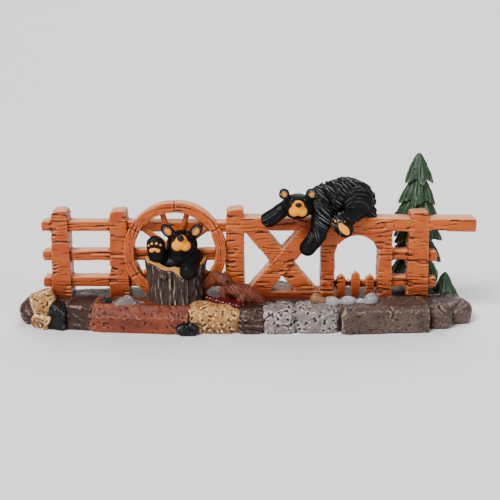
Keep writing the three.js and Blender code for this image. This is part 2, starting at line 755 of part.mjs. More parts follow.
// A conifer: tiers of boughs, each a drooping skirt of lobes, on a straight trunk.
function conifer({ x, y, foot, top, tip, width, tiers, lobes, seed }) {
  const height = top - foot;
  const trunk = new THREE.CylinderGeometry(width * 0.07, width * 0.13, height * 0.92, 8);
  trunk.rotateX(Math.PI / 2);
  trunk.translate(x, y, foot + height * 0.46);
  const parts = [solidOf(trunk)];
  const pitch = (height - tip) / (tiers - 0.6);
  for (let tier = 0; tier < tiers; tier++) {
    const tall = tier === 0 ? tip : pitch * 1.4;
    const z = top - tip - pitch * tier + tall;
    const radius = (width / 2) * (0.5 + 0.5 * (tier / (tiers - 1)) ** 0.6);
    const dx = (chance(seed + tier) - 0.5) * width * 0.08;
    const section = (level, reach, droop, ragged) => {
      const points = [];
      for (let i = 0; i < lobes * 2; i++) {
        const angle = ((i + tier * 0.7) / (lobes * 2)) * 2 * Math.PI;
        const out = i % 2 ? 1 - ragged : 1 + 0.12 * (chance(seed + i * 3 + tier) - 0.5);
        const sag = i % 2 ? 0 : droop;
        const spread = radius * reach * out;
        const height = z - level * tall - sag;
        const across = x + dx + spread * Math.cos(angle);
        points.push(new THREE.Vector3(across, y + spread * Math.sin(angle), height));
      }
      return points;
    };
    const sections = [
      section(0, tier === 0 ? 0.06 : 0.3, 0, 0),
      section(0.45, tier === 0 ? 0.5 : 0.66, 0.3, 0.12),
      section(0.95, 1, 1.4, 0.22),
    ];
    parts.push(loft(sections));
  }
  return joined(parts);
}

// The small animal beside the stump, head up, its bushy tail along the ground.
function squirrel() {
  const s = squirrelLength / 30;
  const at = (dx, dy, dz) => [squirrelX + dx * s, squirrelY + dy * s, groundHeight + dz * s];
  const slim = { sides: 6, rings: 3 };
  return joined([
    lump(at(-9.8, 0, 13.6), [4.4 * s, 3.2 * s, 4 * s], 1, [0, 0.5, 0]),
    limb([at(-11, 0.3, 14.4), at(-14, 0.6, 16.3), at(-16.6, 0.8, 17.6)], [3.4 * s, 2.7 * s, 2.1 * s], slim),
    limb([at(-8.2, 0, 11), at(-8.6, -0.4, 6), at(-9.4, -1, 0)], [2.6 * s, 2.2 * s, 1.8 * s], slim),
    limb(
      [at(-8, 0.5, 10.5), at(-2, 1, 9.5), at(4.5, 0.6, 6), at(11, 0, 1.5)],
      [3.4 * s, 5.4 * s, 5.2 * s, 1.8 * s],
      { sides: 8, rings: 4, carve: 0.05 },
    ),
  ]);
}

// Berries at the animal's feet, a leaf and two twigs.
function litter() {
  const parts = [];
  for (let i = 0; i < berryCount; i++) {
    const x = squirrelX - 19 + (i * 17) / berryCount;
    const y = squirrelY - 5 - 2.2 * chance(i + 90) - (i % 2);
    const z = groundHeight + 1.4 + (i % 2) * 1.6 - i * 0.22;
    parts.push(lump([x, y, z], [berryRadius * 1.25, berryRadius, berryRadius], 0));
  }
  parts.push(
    lump([squirrelX + 18, squirrelY + 1, groundHeight + 0.6], [5, 3, 1.6], 0, [0, 0.15, 0.2]),
    limb(
      [
        [squirrelX + 7, squirrelY - 4, groundHeight + 0.4],
        [squirrelX + 16, squirrelY - 5, groundHeight + 1],
        [squirrelX + 26, squirrelY - 3.5, groundHeight + 0.4],
      ],
      [0.9, 1, 0.7],
      { sides: 5, rings: 2 },
    ),
  );
  return joined(parts);
}

// Everything above the underside, as one casting.
function casting() {
  const foot = groundHeight - 3;
  const all = joined([
    rockBed(),
    looseStones(),
    railBay(),
    topRail(),
    crossBay(),
    archGate(),
    endBay(),
    wheel(),
    stump(),
    sittingBear(),
    lyingBear(),
    conifer({
      x: treeX,
      y: treeY,
      foot,
      top: treeTop,
      tip: treeTip,
      width: treeWidth,
      tiers: treeTiers,
      lobes: 5,
      seed: 7,
    }),
    conifer({
      x: saplingX,
      y: saplingY,
      foot,
      top: saplingTop,
      tip: saplingTip,
      width: saplingWidth,
      tiers: saplingTiers,
      lobes: 5,
      seed: 9,
    }),
    squirrel(),
    litter(),
  ]);
  const below = new THREE.BoxGeometry(bedLength * 1.5, 4 * (bedFront + bedBack), 40);
  below.translate(0, 0, underside - 20);
  return all.subtract(solidOf(below));
}

// A solid as a drawable geometry.
function geometryOf(solid) {
  const mesh = solid.getMesh();
  const geometry = new THREE.BufferGeometry();
  const position = new Float32Array((mesh.vertProperties.length / mesh.numProp) * 3);
  for (let i = 0; i < position.length / 3; i++) {
    for (let axis = 0; axis < 3; axis++) {
      position[i * 3 + axis] = mesh.vertProperties[i * mesh.numProp + axis];
    }
  }
  geometry.setAttribute("position", new THREE.BufferAttribute(position, 3));
  geometry.setIndex(new THREE.BufferAttribute(new Uint32Array(mesh.triVerts), 1));
  return geometry;
}

const paintedResin = new THREE.MeshStandardMaterial({ color: 0xb8703a, roughness: 0.5, metalness: 0 });
const figurine = new THREE.Mesh(geometryOf(casting()), paintedResin);
figurine.name = "figurine";

const model = new THREE.Group();
model.add(figurine);

export default model;
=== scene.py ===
import math

import bmesh
import bpy
import numpy as np
from mathutils import Matrix, Vector


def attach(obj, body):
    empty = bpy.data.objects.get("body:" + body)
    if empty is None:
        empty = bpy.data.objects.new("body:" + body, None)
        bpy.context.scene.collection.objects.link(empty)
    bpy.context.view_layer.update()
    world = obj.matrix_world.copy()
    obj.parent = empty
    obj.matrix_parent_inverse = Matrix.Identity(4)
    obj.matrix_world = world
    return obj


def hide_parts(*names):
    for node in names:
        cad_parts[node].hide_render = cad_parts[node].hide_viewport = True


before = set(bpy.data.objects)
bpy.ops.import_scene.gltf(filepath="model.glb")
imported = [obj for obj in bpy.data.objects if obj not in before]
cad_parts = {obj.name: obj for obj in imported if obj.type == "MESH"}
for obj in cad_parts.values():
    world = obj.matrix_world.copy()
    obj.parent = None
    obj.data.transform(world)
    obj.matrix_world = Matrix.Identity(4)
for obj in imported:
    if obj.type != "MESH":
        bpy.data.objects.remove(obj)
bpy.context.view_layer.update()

# Camera, floor and lights
# A pale table top under large soft studio lamps. The camera looks at the figurine's front
# from a little above, as far off as the photograph was taken.
MM = 0.001
CAMERA_TARGET = Vector((2.4, 0.0, 43.3)) * MM
CAMERA_DISTANCE = 650 * MM
CAMERA_ELEVATION = math.radians(14)
CAMERA_LENS = 76.4
FLOOR_REACH = 40.0

scene = bpy.context.scene
back = Vector((0.0, -math.cos(CAMERA_ELEVATION), math.sin(CAMERA_ELEVATION)))
camera = bpy.data.objects.new("camera", bpy.data.cameras.new("camera"))
camera.data.lens = CAMERA_LENS
camera.data.sensor_width = 36
camera.data.clip_start = 0.01
camera.location = CAMERA_TARGET + back * CAMERA_DISTANCE
camera.rotation_euler = (-back).to_track_quat("-Z", "Y").to_euler()
scene.collection.objects.link(camera)
scene.camera = camera


def paint(code):
    """An sRGB hex colour as the linear colour that shaders take."""
    values = [int(code[i:i + 2], 16) / 255 for i in (1, 3, 5)]
    return [v / 12.92 if v <= 0.04045 else ((v + 0.055) / 1.055) ** 2.4 for v in values] + [1.0]


def add_node(tree, kind, sockets, **settings):
    """Adds a shader node, sets it up, and gives each socket its value or its link."""
    node = tree.nodes.new(kind)
    for name, value in settings.items():
        setattr(node, name, value)
    for key, value in sockets.items():
        if isinstance(value, bpy.types.NodeSocket):
            tree.links.new(value, node.inputs[key])
        else:
            node.inputs[key].default_value = value
    return node


def table_top():
    """White laminate, lightly satin: it shows only a soft contact shadow."""
    material = bpy.data.materials.new("white_laminate")
    material.use_nodes = True
    shader = material.node_tree.nodes["Principled BSDF"]
    shader.inputs["Base Color"].default_value = paint("#FAFAFA")
    shader.inputs["Roughness"].default_value = 0.6
    return material


floor_shape = bmesh.new()
bmesh.ops.create_grid(floor_shape, x_segments=2, y_segments=2, size=FLOOR_REACH)
floor = bpy.data.objects.new("floor", bpy.data.meshes.new("floor"))
floor_shape.to_mesh(floor.data)
floor_shape.free()
floor.data.materials.append(table_top())
scene.collection.objects.link(floor)


def lamp(name, place, spread, power):
    """A far-off soft box that faces the figurine and seems spread degrees wide."""
    light = bpy.data.objects.new(name, bpy.data.lights.new(name, "SUN"))
    light.data.angle = math.radians(spread)
    light.data.energy = power
    light.rotation_euler = Vector(place).to_track_quat("Z", "Y").to_euler()
    scene.collection.objects.link(light)


lamp("key_light", (-0.55, -0.7, 0.85), 24, 4.1)
lamp("fill_light", (0.8, -0.75, 0.4), 50, 0.8)
lamp("back_light", (0.1, 0.8, 0.9), 40, 2.0)
world = bpy.data.worlds.new("studio")
scene.world = world
world.use_nodes = True
world.node_tree.nodes["Background"].inputs["Color"].default_value = paint("#FFFFFF")
world.node_tree.nodes["Background"].inputs["Strength"].default_value = 0.2

# Ground between the rocks
# The casting's own body, which fills the ring of rocks and carries the timber. It is resin,
# cast in one with everything on it, and painted as dark packed earth.
BED_LENGTH = 278
BED_FRONT = 35
BED_BACK = 27
GROUND_HEIGHT = 14
GROUND_INSET = 7
GROUND_STEPS = 96
GROUND_VOXEL = 1.4


def lattice(ix, iy, iz, seed):
    """A repeatable value from -1 to 1 for each whole-number corner."""
    mixed = (ix * 374761393 + iy * 668265263 + iz * 1440662683 + seed * 362437) & 0xFFFFFFFF
    mixed = ((mixed ^ (mixed >> 13)) * 1274126177) & 0xFFFFFFFF
    return ((mixed ^ (mixed >> 16)) & 0xFFFF) / 32767.5 - 1


def uneven(points, bump, seed):
    """Smooth noise from -1 to 1 at each point; bump is the size in mm of one bump, for all axes or each."""
    spot = points / np.asarray(bump, float)
    whole = np.floor(spot).astype(np.int64)
    part = spot - whole
    part = part * part * (3 - 2 * part)
    total = np.zeros(len(points))
    for corner in range(8):
        step = np.array([corner & 1, corner >> 1 & 1, corner >> 2 & 1])
        weight = np.prod(np.where(step == 1, part, 1 - part), axis=1)
        total += weight * lattice(*(whole + step).T, seed)
    return total


def askew(points):
    """The points turned, so that noise read at them shows no rows along the axes."""
    return points @ np.array(Matrix.Rotation(0.7, 3, Vector((1, 0.6, 0.8))))


def chance(seed):
    """One repeatable number from 0 to 1."""
    return 0.5 + 0.5 * float(lattice(seed, 3 * seed + 1, 7, 11))


def fused(shapes, name, voxel, easing=2):
    """Overlapping closed shapes, drawn in mm, as one skin of small even faces."""
    mesh = bpy.data.meshes.new(name)
    shapes.to_mesh(mesh)
    shapes.free()
    mesh.transform(Matrix.Scale(MM, 4))
    piece = bpy.data.objects.new(name, mesh)
    scene.collection.objects.link(piece)
    melt = piece.modifiers.new("melt", "REMESH")
    melt.mode = "VOXEL"
    melt.voxel_size = voxel * MM
    ease = piece.modifiers.new("ease", "SMOOTH")
    ease.factor = 0.5
    ease.iterations = easing
    graph = bpy.context.evaluated_depsgraph_get()
    piece.data = bpy.data.meshes.new_from_object(piece.evaluated_get(graph))
    piece.modifiers.clear()
    return piece


def points_of(piece, field="co"):
    """A piece's vertex places in mm, or its unit normals."""
    values = np.empty(len(piece.data.vertices) * 3, np.float32)
    piece.data.vertices.foreach_get(field, values)
    return values.reshape(-1, 3).astype(float) / (MM if field == "co" else 1)


def averaged(piece, values, passes):
    """Each vertex's values averaged with its neighbours', a number of times."""
    ends = np.empty(len(piece.data.edges) * 2, np.int32)
    piece.data.edges.foreach_get("vertices", ends)
    a, b = ends.reshape(-1, 2).T
    count = len(values)
    degree = (np.bincount(a, minlength=count) + np.bincount(b, minlength=count) + 1)[:, None]
    for _ in range(passes):
        sums = [np.bincount(a, v[b], count) + np.bincount(b, v[a], count) for v in values.T]
        values = (values + np.stack(sums, axis=1)) / degree
    return values


def carve(piece, points, patch=None, reach=3, gain=1.6):
    """Gives a piece its carved points and stores its relief: 0 in hollows, 1 on what stands proud.

    patch says, from 0 to 1, where each point takes the finish's own patch colour.
    """
    points[:, 2] = np.maximum(points[:, 2], 0)
    piece.data.vertices.foreach_set("co", (points * MM).astype(np.float32).ravel())
    piece.data.update()
    proud = np.sum((points - averaged(piece, points, reach)) * points_of(piece, "normal"), axis=1)
    relief = np.clip(0.5 + gain * proud, 0, 1).astype(np.float32)
    attribute = piece.data.attributes.new("relief", "FLOAT", "POINT")
    attribute.data.foreach_set("value", relief)
    if patch is not None:
        attribute = piece.data.attributes.new("patch", "FLOAT", "POINT")
        attribute.data.foreach_set("value", np.clip(patch, 0, 1).astype(np.float32))
    piece.data.shade_smooth()


def resin_paint(name, coats, hollow, ridge, mottle, patch=None, foot=None, streak=(1, 1, 1), gloss=0.5,
                coat=0.0, shine=0.25, wash=(0.42, 0.2), dry_brush_and_sheen=(0.62, 0.9), grit=0.5, tooth=0.12):
    """Hand-painted cast resin: two mottled coats, a dark wash in the hollows, pale dry-brush on the ridges,
    which on some finishes is also a painted sheen.

    mottle is the patch size in mm; streak stretches the mottle and the grit along each axis; patch is
    the colour of the parts marked so; foot is a colour and the heights in mm between which it fades
    out; wash and brush are the reliefs between which those coats build up; grit and tooth are the
    width and the height in mm of the fine roughness.
    """
    material = bpy.data.materials.new(name)
    material.use_nodes = True
    tree = material.node_tree
    shader = tree.nodes["Principled BSDF"]
    place = add_node(tree, "ShaderNodeTexCoord", {}).outputs["Object"]
    stretch = [1 / s for s in streak]
    along = add_node(tree, "ShaderNodeMapping", {"Vector": place, "Scale": stretch}).outputs["Vector"]
    clouds = {"Vector": along, "Scale": 1 / (mottle * MM), "Detail": 4.0}
    clouds = add_node(tree, "ShaderNodeTexNoise", clouds).outputs["Fac"]
    relief = add_node(tree, "ShaderNodeAttribute", {}, attribute_name="relief").outputs["Fac"]
    spans = [(clouds, 0.38, 0.62, coats[1])]
    if patch:
        marked = add_node(tree, "ShaderNodeAttribute", {}, attribute_name="patch").outputs["Fac"]
        spans.append((marked, 0.2, 0.8, patch))
    if foot:
        height = add_node(tree, "ShaderNodeSeparateXYZ", {"Vector": place}).outputs["Z"]
        spans.append((height, foot[2] * MM, foot[1] * MM, foot[0]))
    spans += [(relief, *wash, hollow), (relief, *dry_brush_and_sheen, ridge)]
    colour = paint(coats[0])
    for value, start, end, next_colour in spans:
        share = add_node(tree, "ShaderNodeMapRange", {"Value": value, "From Min": start, "From Max": end})
        mixed = {0: share.outputs[0], 6: colour, 7: paint(next_colour)}
        colour = add_node(tree, "ShaderNodeMix", mixed, data_type="RGBA").outputs[2]
    tree.links.new(colour, shader.inputs["Base Color"])
    fine = {"Vector": along, "Scale": 1 / (grit * MM), "Detail": 3.0}
    fine = add_node(tree, "ShaderNodeTexNoise", fine).outputs["Fac"]
    sheen = {"Value": fine, "To Min": gloss - 0.08, "To Max": gloss + 0.08}
    sheen = add_node(tree, "ShaderNodeMapRange", sheen)
    tree.links.new(sheen.outputs[0], shader.inputs["Roughness"])
    bump = add_node(tree, "ShaderNodeBump", {"Height": fine, "Strength": 1.0, "Distance": tooth * MM})
    tree.links.new(bump.outputs["Normal"], shader.inputs["Normal"])
    shader.inputs["IOR"].default_value = 1.5
    shader.inputs["Specular IOR Level"].default_value = shine
    shader.inputs["Coat Weight"].default_value = coat
    shader.inputs["Coat Roughness"].default_value = 0.15
    return material


def hand_over(piece, material):
    """A finished piece: painted, riding on the casting's one body, and standing for its solid."""
    piece.data.materials.clear()
    piece.data.materials.append(material)
    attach(piece, "root")
    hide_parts("figurine")


def bed_edge(x, reach, inset=0):
    """Front or back edge of the bed at x: a rounded outline, fuller at the right."""
    share = min(abs(x) / (BED_LENGTH / 2 - inset), 1)
    fullness = 2.1 if x < 0 else 3
    return (reach - inset) * (1 - share ** fullness) ** (1 / fullness)


def thicken(shapes, faces, way):
    """Turns flat faces into a closed body by drawing them out."""
    drawn = bmesh.ops.extrude_face_region(shapes, geom=faces)["geom"]
    moved = [element for element in drawn if isinstance(element, bmesh.types.BMVert)]
    bmesh.ops.translate(shapes, verts=moved, vec=way)
    bmesh.ops.recalc_face_normals(shapes, faces=shapes.faces[:])


ground_shape = bmesh.new()
rim = bmesh.ops.create_circle(ground_shape, cap_ends=True, segments=GROUND_STEPS, radius=1)["verts"]
for vert in rim:
    x = vert.co.x * (BED_LENGTH / 2 - GROUND_INSET)
    reach = BED_BACK if vert.co.y > 0 else BED_FRONT
    side = 1 if vert.co.y > 0 else -1
    vert.co = Vector((x, side * bed_edge(x, reach, GROUND_INSET), 0))
thicken(ground_shape, ground_shape.faces[:], (0, 0, GROUND_HEIGHT))
ground = fused(ground_shape, "ground", GROUND_VOXEL, 1)
spots = points_of(ground)
lumpy = 0.5 * uneven(spots, 5, 3) + 0.3 * uneven(spots, 2.2, 4)
carve(ground, spots + points_of(ground, "normal") * lumpy[:, None])
# Dark umber with a chalky dry-brush: reads as packed earth in the joints.
earth = resin_paint("umber_washed_resin", ("#3A302C", "#463A34"), "#120E0C", "#7A6C62", 6, gloss=0.6)
hand_over(ground, earth)

# Ring of rocks
# Hewn blocks and cobbles that edge the bed, sculpted with the rest and cast in one with it. Each
# is painted as its own kind of stone, washed dark in the joints and dry-brushed on the edges.
FRONT_ROCK_HEIGHT = 16.5
BACK_ROCK_HEIGHT = 14.5
FRONT_ROCK_DEPTH = 24
BACK_ROCK_DEPTH = 20
ROCK_VOXEL = 0.6
BACK_ROCK_VOXEL = 0.95
PEBBLE_VOXEL = 0.5


def add_copy(shapes, part, place):
    """Adds a part to a shape where it belongs."""
    part.transform(place)
    mesh = bpy.data.meshes.new("part")
    part.to_mesh(mesh)
    part.free()
    shapes.from_mesh(mesh)
    bpy.data.meshes.remove(mesh)


def hewn(shapes, at, size, seed, cuts=9, turn=0.0, lean=0.0, struck=(1.2, 4.0), bevel=0.0):
    """A block with its corners and edges struck off, and its upper front edge bevelled, in mm."""
    block = bmesh.new()
    bmesh.ops.create_cube(block, size=1.0)
    bmesh.ops.scale(block, verts=block.verts, vec=size)
    strikes = [(Vector((0, -1, 1)).normalized(), bevel)] if bevel else []
    for i in range(cuts):
        angle = 2 * math.pi * (i + 0.8 * chance(seed * 17 + i)) / cuts
        rise = 0.15 + 0.9 * chance(seed * 31 + i)
        way = Vector((math.cos(angle), math.sin(angle), rise if i % 4 else -0.3)).normalized()
        strikes.append((way, struck[0] + (struck[1] - struck[0]) * chance(seed * 7 + i)))
    for way, depth in strikes:
        reach = sum(abs(part) * side / 2 for part, side in zip(way, size)) - depth
        everything = block.verts[:] + block.edges[:] + block.faces[:]
        cut = bmesh.ops.bisect_plane(
            block, geom=everything, plane_co=way * reach, plane_no=way, clear_outer=True)
        rim = [element for element in cut["geom_cut"] if isinstance(element, bmesh.types.BMEdge)]
        bmesh.ops.edgenet_fill(block, edges=rim)
    place = Matrix.Translation(at) @ Matrix.Rotation(turn, 4, "Z") @ Matrix.Rotation(lean, 4, "Y")
    add_copy(shapes, block, place)


def cobble(shapes, at, size, seed, turn=0.0, lean=0.0, square=2.6):
    """A rounded stone, squared a little."""
    ball = bmesh.new()
    bmesh.ops.create_icosphere(ball, subdivisions=4, radius=1.0)
    for vert in ball.verts:
        power = sum(abs(c) ** square for c in vert.co)
        vert.co *= power ** (-1 / square)
    bmesh.ops.scale(ball, verts=ball.verts, vec=[side / 2 for side in size])
    place = Matrix.Translation(at) @ Matrix.Rotation(turn, 4, "Z") @ Matrix.Rotation(lean, 4, "Y")
    add_copy(shapes, ball, place)


def laid(shapes, left, right, height, seed, facing=-1, depth=FRONT_ROCK_DEPTH, lean=0.0, **finish):
    """A hewn block laid along the front or back edge of the bed."""
    middle = (left + right) / 2
    reach = BED_BACK if facing > 0 else BED_FRONT
    turn = 0.8 * math.atan(facing * (bed_edge(right, reach) - bed_edge(left, reach)) / (right - left))
    at = (middle, facing * (bed_edge(middle, reach) - depth / 2), height / 2 - 1)
    hewn(shapes, at, (right - left, depth, height + 2), seed, turn=turn, lean=lean, **finish)


def weathered(shapes, name, seed, rough=0.5, bump=(6, 6, 4.5), pits=0.0, bands=0.0, cracks=0.6, easing=6,
              voxel=ROCK_VOXEL):
    """Fuses stones, and roughens them with lumps, broken cracks, pits or level bands."""
    piece = fused(shapes, name, voxel, easing)
    spots = points_of(piece)
    turned = askew(spots)
    bump = np.array(bump, float)
    height = rough * (uneven(turned, bump, seed) + 0.6 * uneven(turned, bump / 2.1, seed + 1))
    broken = np.clip(2.5 * uneven(turned, bump * 1.1, seed + 7) + 0.2, 0, 1)
    height -= cracks * broken * np.clip(1 - np.abs(uneven(turned, bump * 1.2, seed + 2)) / 0.14, 0, 1)
    height -= pits * np.clip(uneven(turned, 1.7, seed + 3) * 3.4 - 0.9, 0, 1)
    height += bands * uneven(spots, (16, 16, 1.8), seed + 4)
    height += 0.3 * rough * uneven(turned, 1.2, seed + 5)
    carve(piece, spots + points_of(piece, "normal") * height[:, None], gain=2.2)
    return piece


half_bed = BED_LENGTH / 2

# The long slab at the front: iron-red sandstone, its bevelled upper edge scraped pale.
slab = bmesh.new()
laid(slab, -91.5, -33, FRONT_ROCK_HEIGHT - 0.8, 5, cuts=12, struck=(0.5, 1.8), bevel=4.3)
slab = weathered(slab, "red_slab", 11, 0.4, (13, 9, 5), pits=0.4, bands=0.15, cracks=0.3, easing=4)
red = resin_paint(
    "iron_red_painted_resin", ("#7A3822", "#5F2A1B"), "#1E0A06", "#A5684A", 7, streak=(2.5, 1, 1))
hand_over(slab, red)

# Tan sandstone: at the left end, and the lumpy one in the middle.
tan_rocks = bmesh.new()
cobble(tan_rocks, (-18.8, -25.6, 7.7), (32.4, 17, 18.4), 9, 0.0, 0.07, 3.8)
hewn(tan_rocks, (-half_bed + 15.8, -11.5, 13.8), (14.6, 11, 13.6), 3, 9, 0.1, -0.3, (1.2, 3.4))
hewn(tan_rocks, (-half_bed + 16.8, -19.5, 4.2), (13.4, 9, 9), 4, 9, -0.5, 0.1, (1.0, 2.6))
tan_rocks = weathered(tan_rocks, "tan_rocks", 21, 0.6, (5, 5, 4), pits=0.55, cracks=0.35, easing=3)
tan = resin_paint(
    "tan_painted_resin", ("#A06B3B", "#B4824C"), "#2E1A0A", "#DEBA88", 5, foot=("#6B482B", 2, 11))
hand_over(tan_rocks, tan)

# Grey pitted stone: two blocks at the front and a flat top behind; then the low pyramid by the stump.
grey_rocks = bmesh.new()
cobble(grey_rocks, (19.4, -23.5, 7.0), (21.4, 22, 17.6), 12, 0.0, 0.0, 4.2)
cobble(grey_rocks, (41.9, -22.5, 7.3), (27.4, 22, 18), 14, 0.05, 0.0, 4.2)
hewn(grey_rocks, (15, 11, 14.6), (30, 14, 8), 71, 8, 0.05)
grey_rocks = weathered(grey_rocks, "grey_rocks", 31, 0.5, (4.5, 4.5, 3.6), pits=0.7, cracks=0.25, easing=3)
grey = resin_paint("grey_stippled_resin", ("#827672", "#6A605D"), "#1E1A1B", "#B8B0AA", 4)
hand_over(grey_rocks, grey)

pyramid = bmesh.new()
bmesh.ops.create_cone(pyramid, cap_ends=True, segments=5, radius1=1.0, radius2=0.02, depth=1.0)
bmesh.ops.scale(pyramid, verts=pyramid.verts, vec=(21, 7.5, 11))
bmesh.ops.translate(pyramid, verts=pyramid.verts, vec=(-71.4, -21.5, 15.9))
pyramid = weathered(pyramid, "pyramid_stone", 33, 0.35, (5, 5, 3), cracks=0.3, easing=3)
slate = resin_paint("slate_grey_resin", ("#6D605A", "#574C49"), "#221E1E", "#B5AEA8", 7, gloss=0.45)
hand_over(pyramid, slate)

# Brown fieldstone: the long flat-fronted one, and the cobbles round the right end.
brown_rocks = bmesh.new()
laid(brown_rocks, 55.5, 108.5, FRONT_ROCK_HEIGHT - 0.3, 16, cuts=12, struck=(0.8, 2.2), bevel=1.6)
cobble(brown_rocks, (half_bed - 22.3, -17.5, 6.6), (16, 16, 16), 5)
cobble(brown_rocks, (half_bed - 9.5, -3, 5.6), (19, 26, 14.5), 6)
brown_rocks = weathered(brown_rocks, "brown_rocks", 41, 0.4, (9, 8, 5), pits=0.3, bands=0.15, cracks=0.6)
brown = resin_paint(
    "brown_painted_resin", ("#56443C", "#463630"), "#140D0A", "#8E7A68", 5, streak=(2, 1, 1))
hand_over(brown_rocks, brown)

# Dark stones: the streaked purple-brown ones at the left end, and the one between tan and grey.
dark_rocks = bmesh.new()
cobble(dark_rocks, (-half_bed + 10.5, -2, 6.2), (21, 31, 15), 7, square=2.8)
laid(dark_rocks, -107.2, -90, FRONT_ROCK_HEIGHT - 1.2, 18, struck=(0.8, 2.4))
cobble(dark_rocks, (3.1, -23.4, 6.6), (16.4, 22, 17.2), 19, 0.0, 0.0, 4.6)
dark_rocks = weathered(dark_rocks, "dark_rocks", 51, 0.45, (9, 8, 2.6), bands=0.4, cracks=0.5)
dark = resin_paint(
    "dark_painted_resin", ("#3C2620", "#2D1C17"), "#0A0605", "#86705F", 5, streak=(2.4, 1, 1), gloss=0.45)
hand_over(dark_rocks, dark)

# Black stones: a glossy green-black block at the left, the lump before the slab's end, and a chip.
black_rocks = bmesh.new()
hewn(black_rocks, (-111.7, -19.5, 7.2), (11.5, 12, 16), 17, 9, -0.35, 0, (1.2, 3.2))
cobble(black_rocks, (-34.5, -34.2, 3.2), (14, 7, 9), 8)
cobble(black_rocks, (-83.5, -20, 15.6), (7, 6, 6.6), 9)
black_rocks = weathered(black_rocks, "black_rocks", 54, 0.55, (4, 4, 3), pits=0.3, cracks=0.4, easing=3)
basalt = resin_paint(
    "green_black_gloss_resin", ("#0D0F0F", "#121514"), "#030404", "#3A4240", 3, gloss=0.3, coat=0.06,
    shine=0.15, dry_brush_and_sheen=(0.72, 1.0))
hand_over(black_rocks, basalt)

# River pebbles in a row before the arch: smooth, each a little different, under a satin varnish.
PEBBLES = [(51.8, 15.0, 9.0, 6.4), (61.1, 15.6, 9.4, 6.4), (68.7, 14.8, 5.0, 5.0), (75.1, 16.4, 9.2, 8.4)]
TAN_PEBBLES = [(42.2, 17.0, 7.4, 6.2), (46.0, 15.8, 4.6, 4.8), (54.6, 13.6, 4.6, 4.2)]


def strewn(stones, name, seed, material):
    """Smooth pebbles, each given as its place along the row, its height and its size."""
    shapes = bmesh.new()
    for i, (x, z, width, height) in enumerate(stones):
        size = (width * 1.08, width * 0.85, height * 1.1)
        cobble(shapes, (x, -19.6 - i % 2, z + 0.8), size, seed + i, 0.3 * i, 0.2 - 0.15 * i, 2.2)
    pebbles = fused(shapes, name, PEBBLE_VOXEL)
    spots = points_of(pebbles)
    carve(pebbles, spots + 0.12 * points_of(pebbles, "normal") * uneven(spots, 3, seed)[:, None])
    hand_over(pebbles, material)


river_grey = resin_paint(
    "varnished_grey_resin", ("#A4A3A4", "#857F80"), "#26262A", "#C4C6C8", 6, gloss=0.32, coat=0.2)
strewn(PEBBLES, "grey_pebbles", 3, river_grey)
river_tan = resin_paint(
    "varnished_tan_resin", ("#8A5A30", "#805E48"), "#321C0E", "#C89E6C", 6, gloss=0.32, coat=0.2)
strewn(TAN_PEBBLES, "tan_pebbles", 8, river_tan)

# Back row: plainer blocks.
BACK_COUNT = 7
BACK_ROW_LENGTH = 0.88 * BED_LENGTH
back_rocks = bmesh.new()
for i in range(BACK_COUNT):
    width = BACK_ROW_LENGTH / BACK_COUNT
    left = i * width - BACK_ROW_LENGTH / 2 - 0.5
    height = BACK_ROCK_HEIGHT * (0.9 + 0.14 * chance(i + 31))
    laid(back_rocks, left, left + width + 1, height, 60 + i, 1, BACK_ROCK_DEPTH, struck=(1.0, 3.6))
back_rocks = weathered(back_rocks, "back_rocks", 61, 0.55, (8, 8, 4), pits=0.3, voxel=BACK_ROCK_VOXEL)
umber = resin_paint("umber_painted_resin", ("#5C4C43", "#685848"), "#17110E", "#A09080", 14)
hand_over(back_rocks, umber)

# Timber fence
# Split rails, posts, an upright wagon wheel, a crossbuck and an arch with a picket gate, sculpted as
# weathered wood in one casting: grain, cracks and knots cut in, painted orange, washed red-brown.
BOARD_THICKNESS = 14.5
BOARD_FACE = -7
BOARD_FOOT = GROUND_HEIGHT - 3
TIMBER_VOXEL = 0.62
GRAIN_PITCH = 1.8
GRAIN_WIDTH = 1.0
GRAIN_DEPTH = 0.5
STROKE_LENGTH = 9
STROKE_DEPTH = 0.8
KNOT_RING = 1.5

BAY_LEFT = -118
BAY_POST_WIDTH = 10.5
BAY_CLEAR_WIDTH = 25
BAY_TOP = 69.5
BAY_RAILS = (21.5, 38, 55.5)
RAIL_HEIGHT = 6.2
RAIL_SET_BACK = 2
RAIL_OVERRUN = 6
RAIL_FACE = BOARD_FACE + RAIL_SET_BACK
RAIL_THICKNESS = BOARD_THICKNESS - 2 * RAIL_SET_BACK
POST_ROUNDING = 3.0
RAIL_ROUNDING = 1.4
BAY_RIGHT_POST = BAY_LEFT + BAY_POST_WIDTH + BAY_CLEAR_WIDTH

WHEEL_X = -43
WHEEL_Z = 44
WHEEL_RADIUS = 31
WHEEL_RIM = 6.5
WHEEL_THICKNESS = 10
WHEEL_PROUD = 3
WHEEL_SEGMENTS = 6
SPOKE_COUNT = 10
SPOKE_RADIUS = 2.1
HUB_RADIUS = 6.5
WHEEL_VOXEL = 0.56

BEAM_RIGHT = 139
BEAM_TOP = 64.8
BEAM_HEIGHT = 7.8
BEAM_UNDERSIDE = BEAM_TOP - BEAM_HEIGHT
BEAM_ROUNDING = 1.2

CROSS_POST_LEFT = -12
CROSS_POST_WIDTH = 10.5
RAILS_END = CROSS_POST_LEFT + 2
CROSS_POST_TOP = 70.5
CROSS_BOARD_WIDTH = 9.5
CROSS_SET_BACK = 1.5
SILL_HEIGHT = 4.6

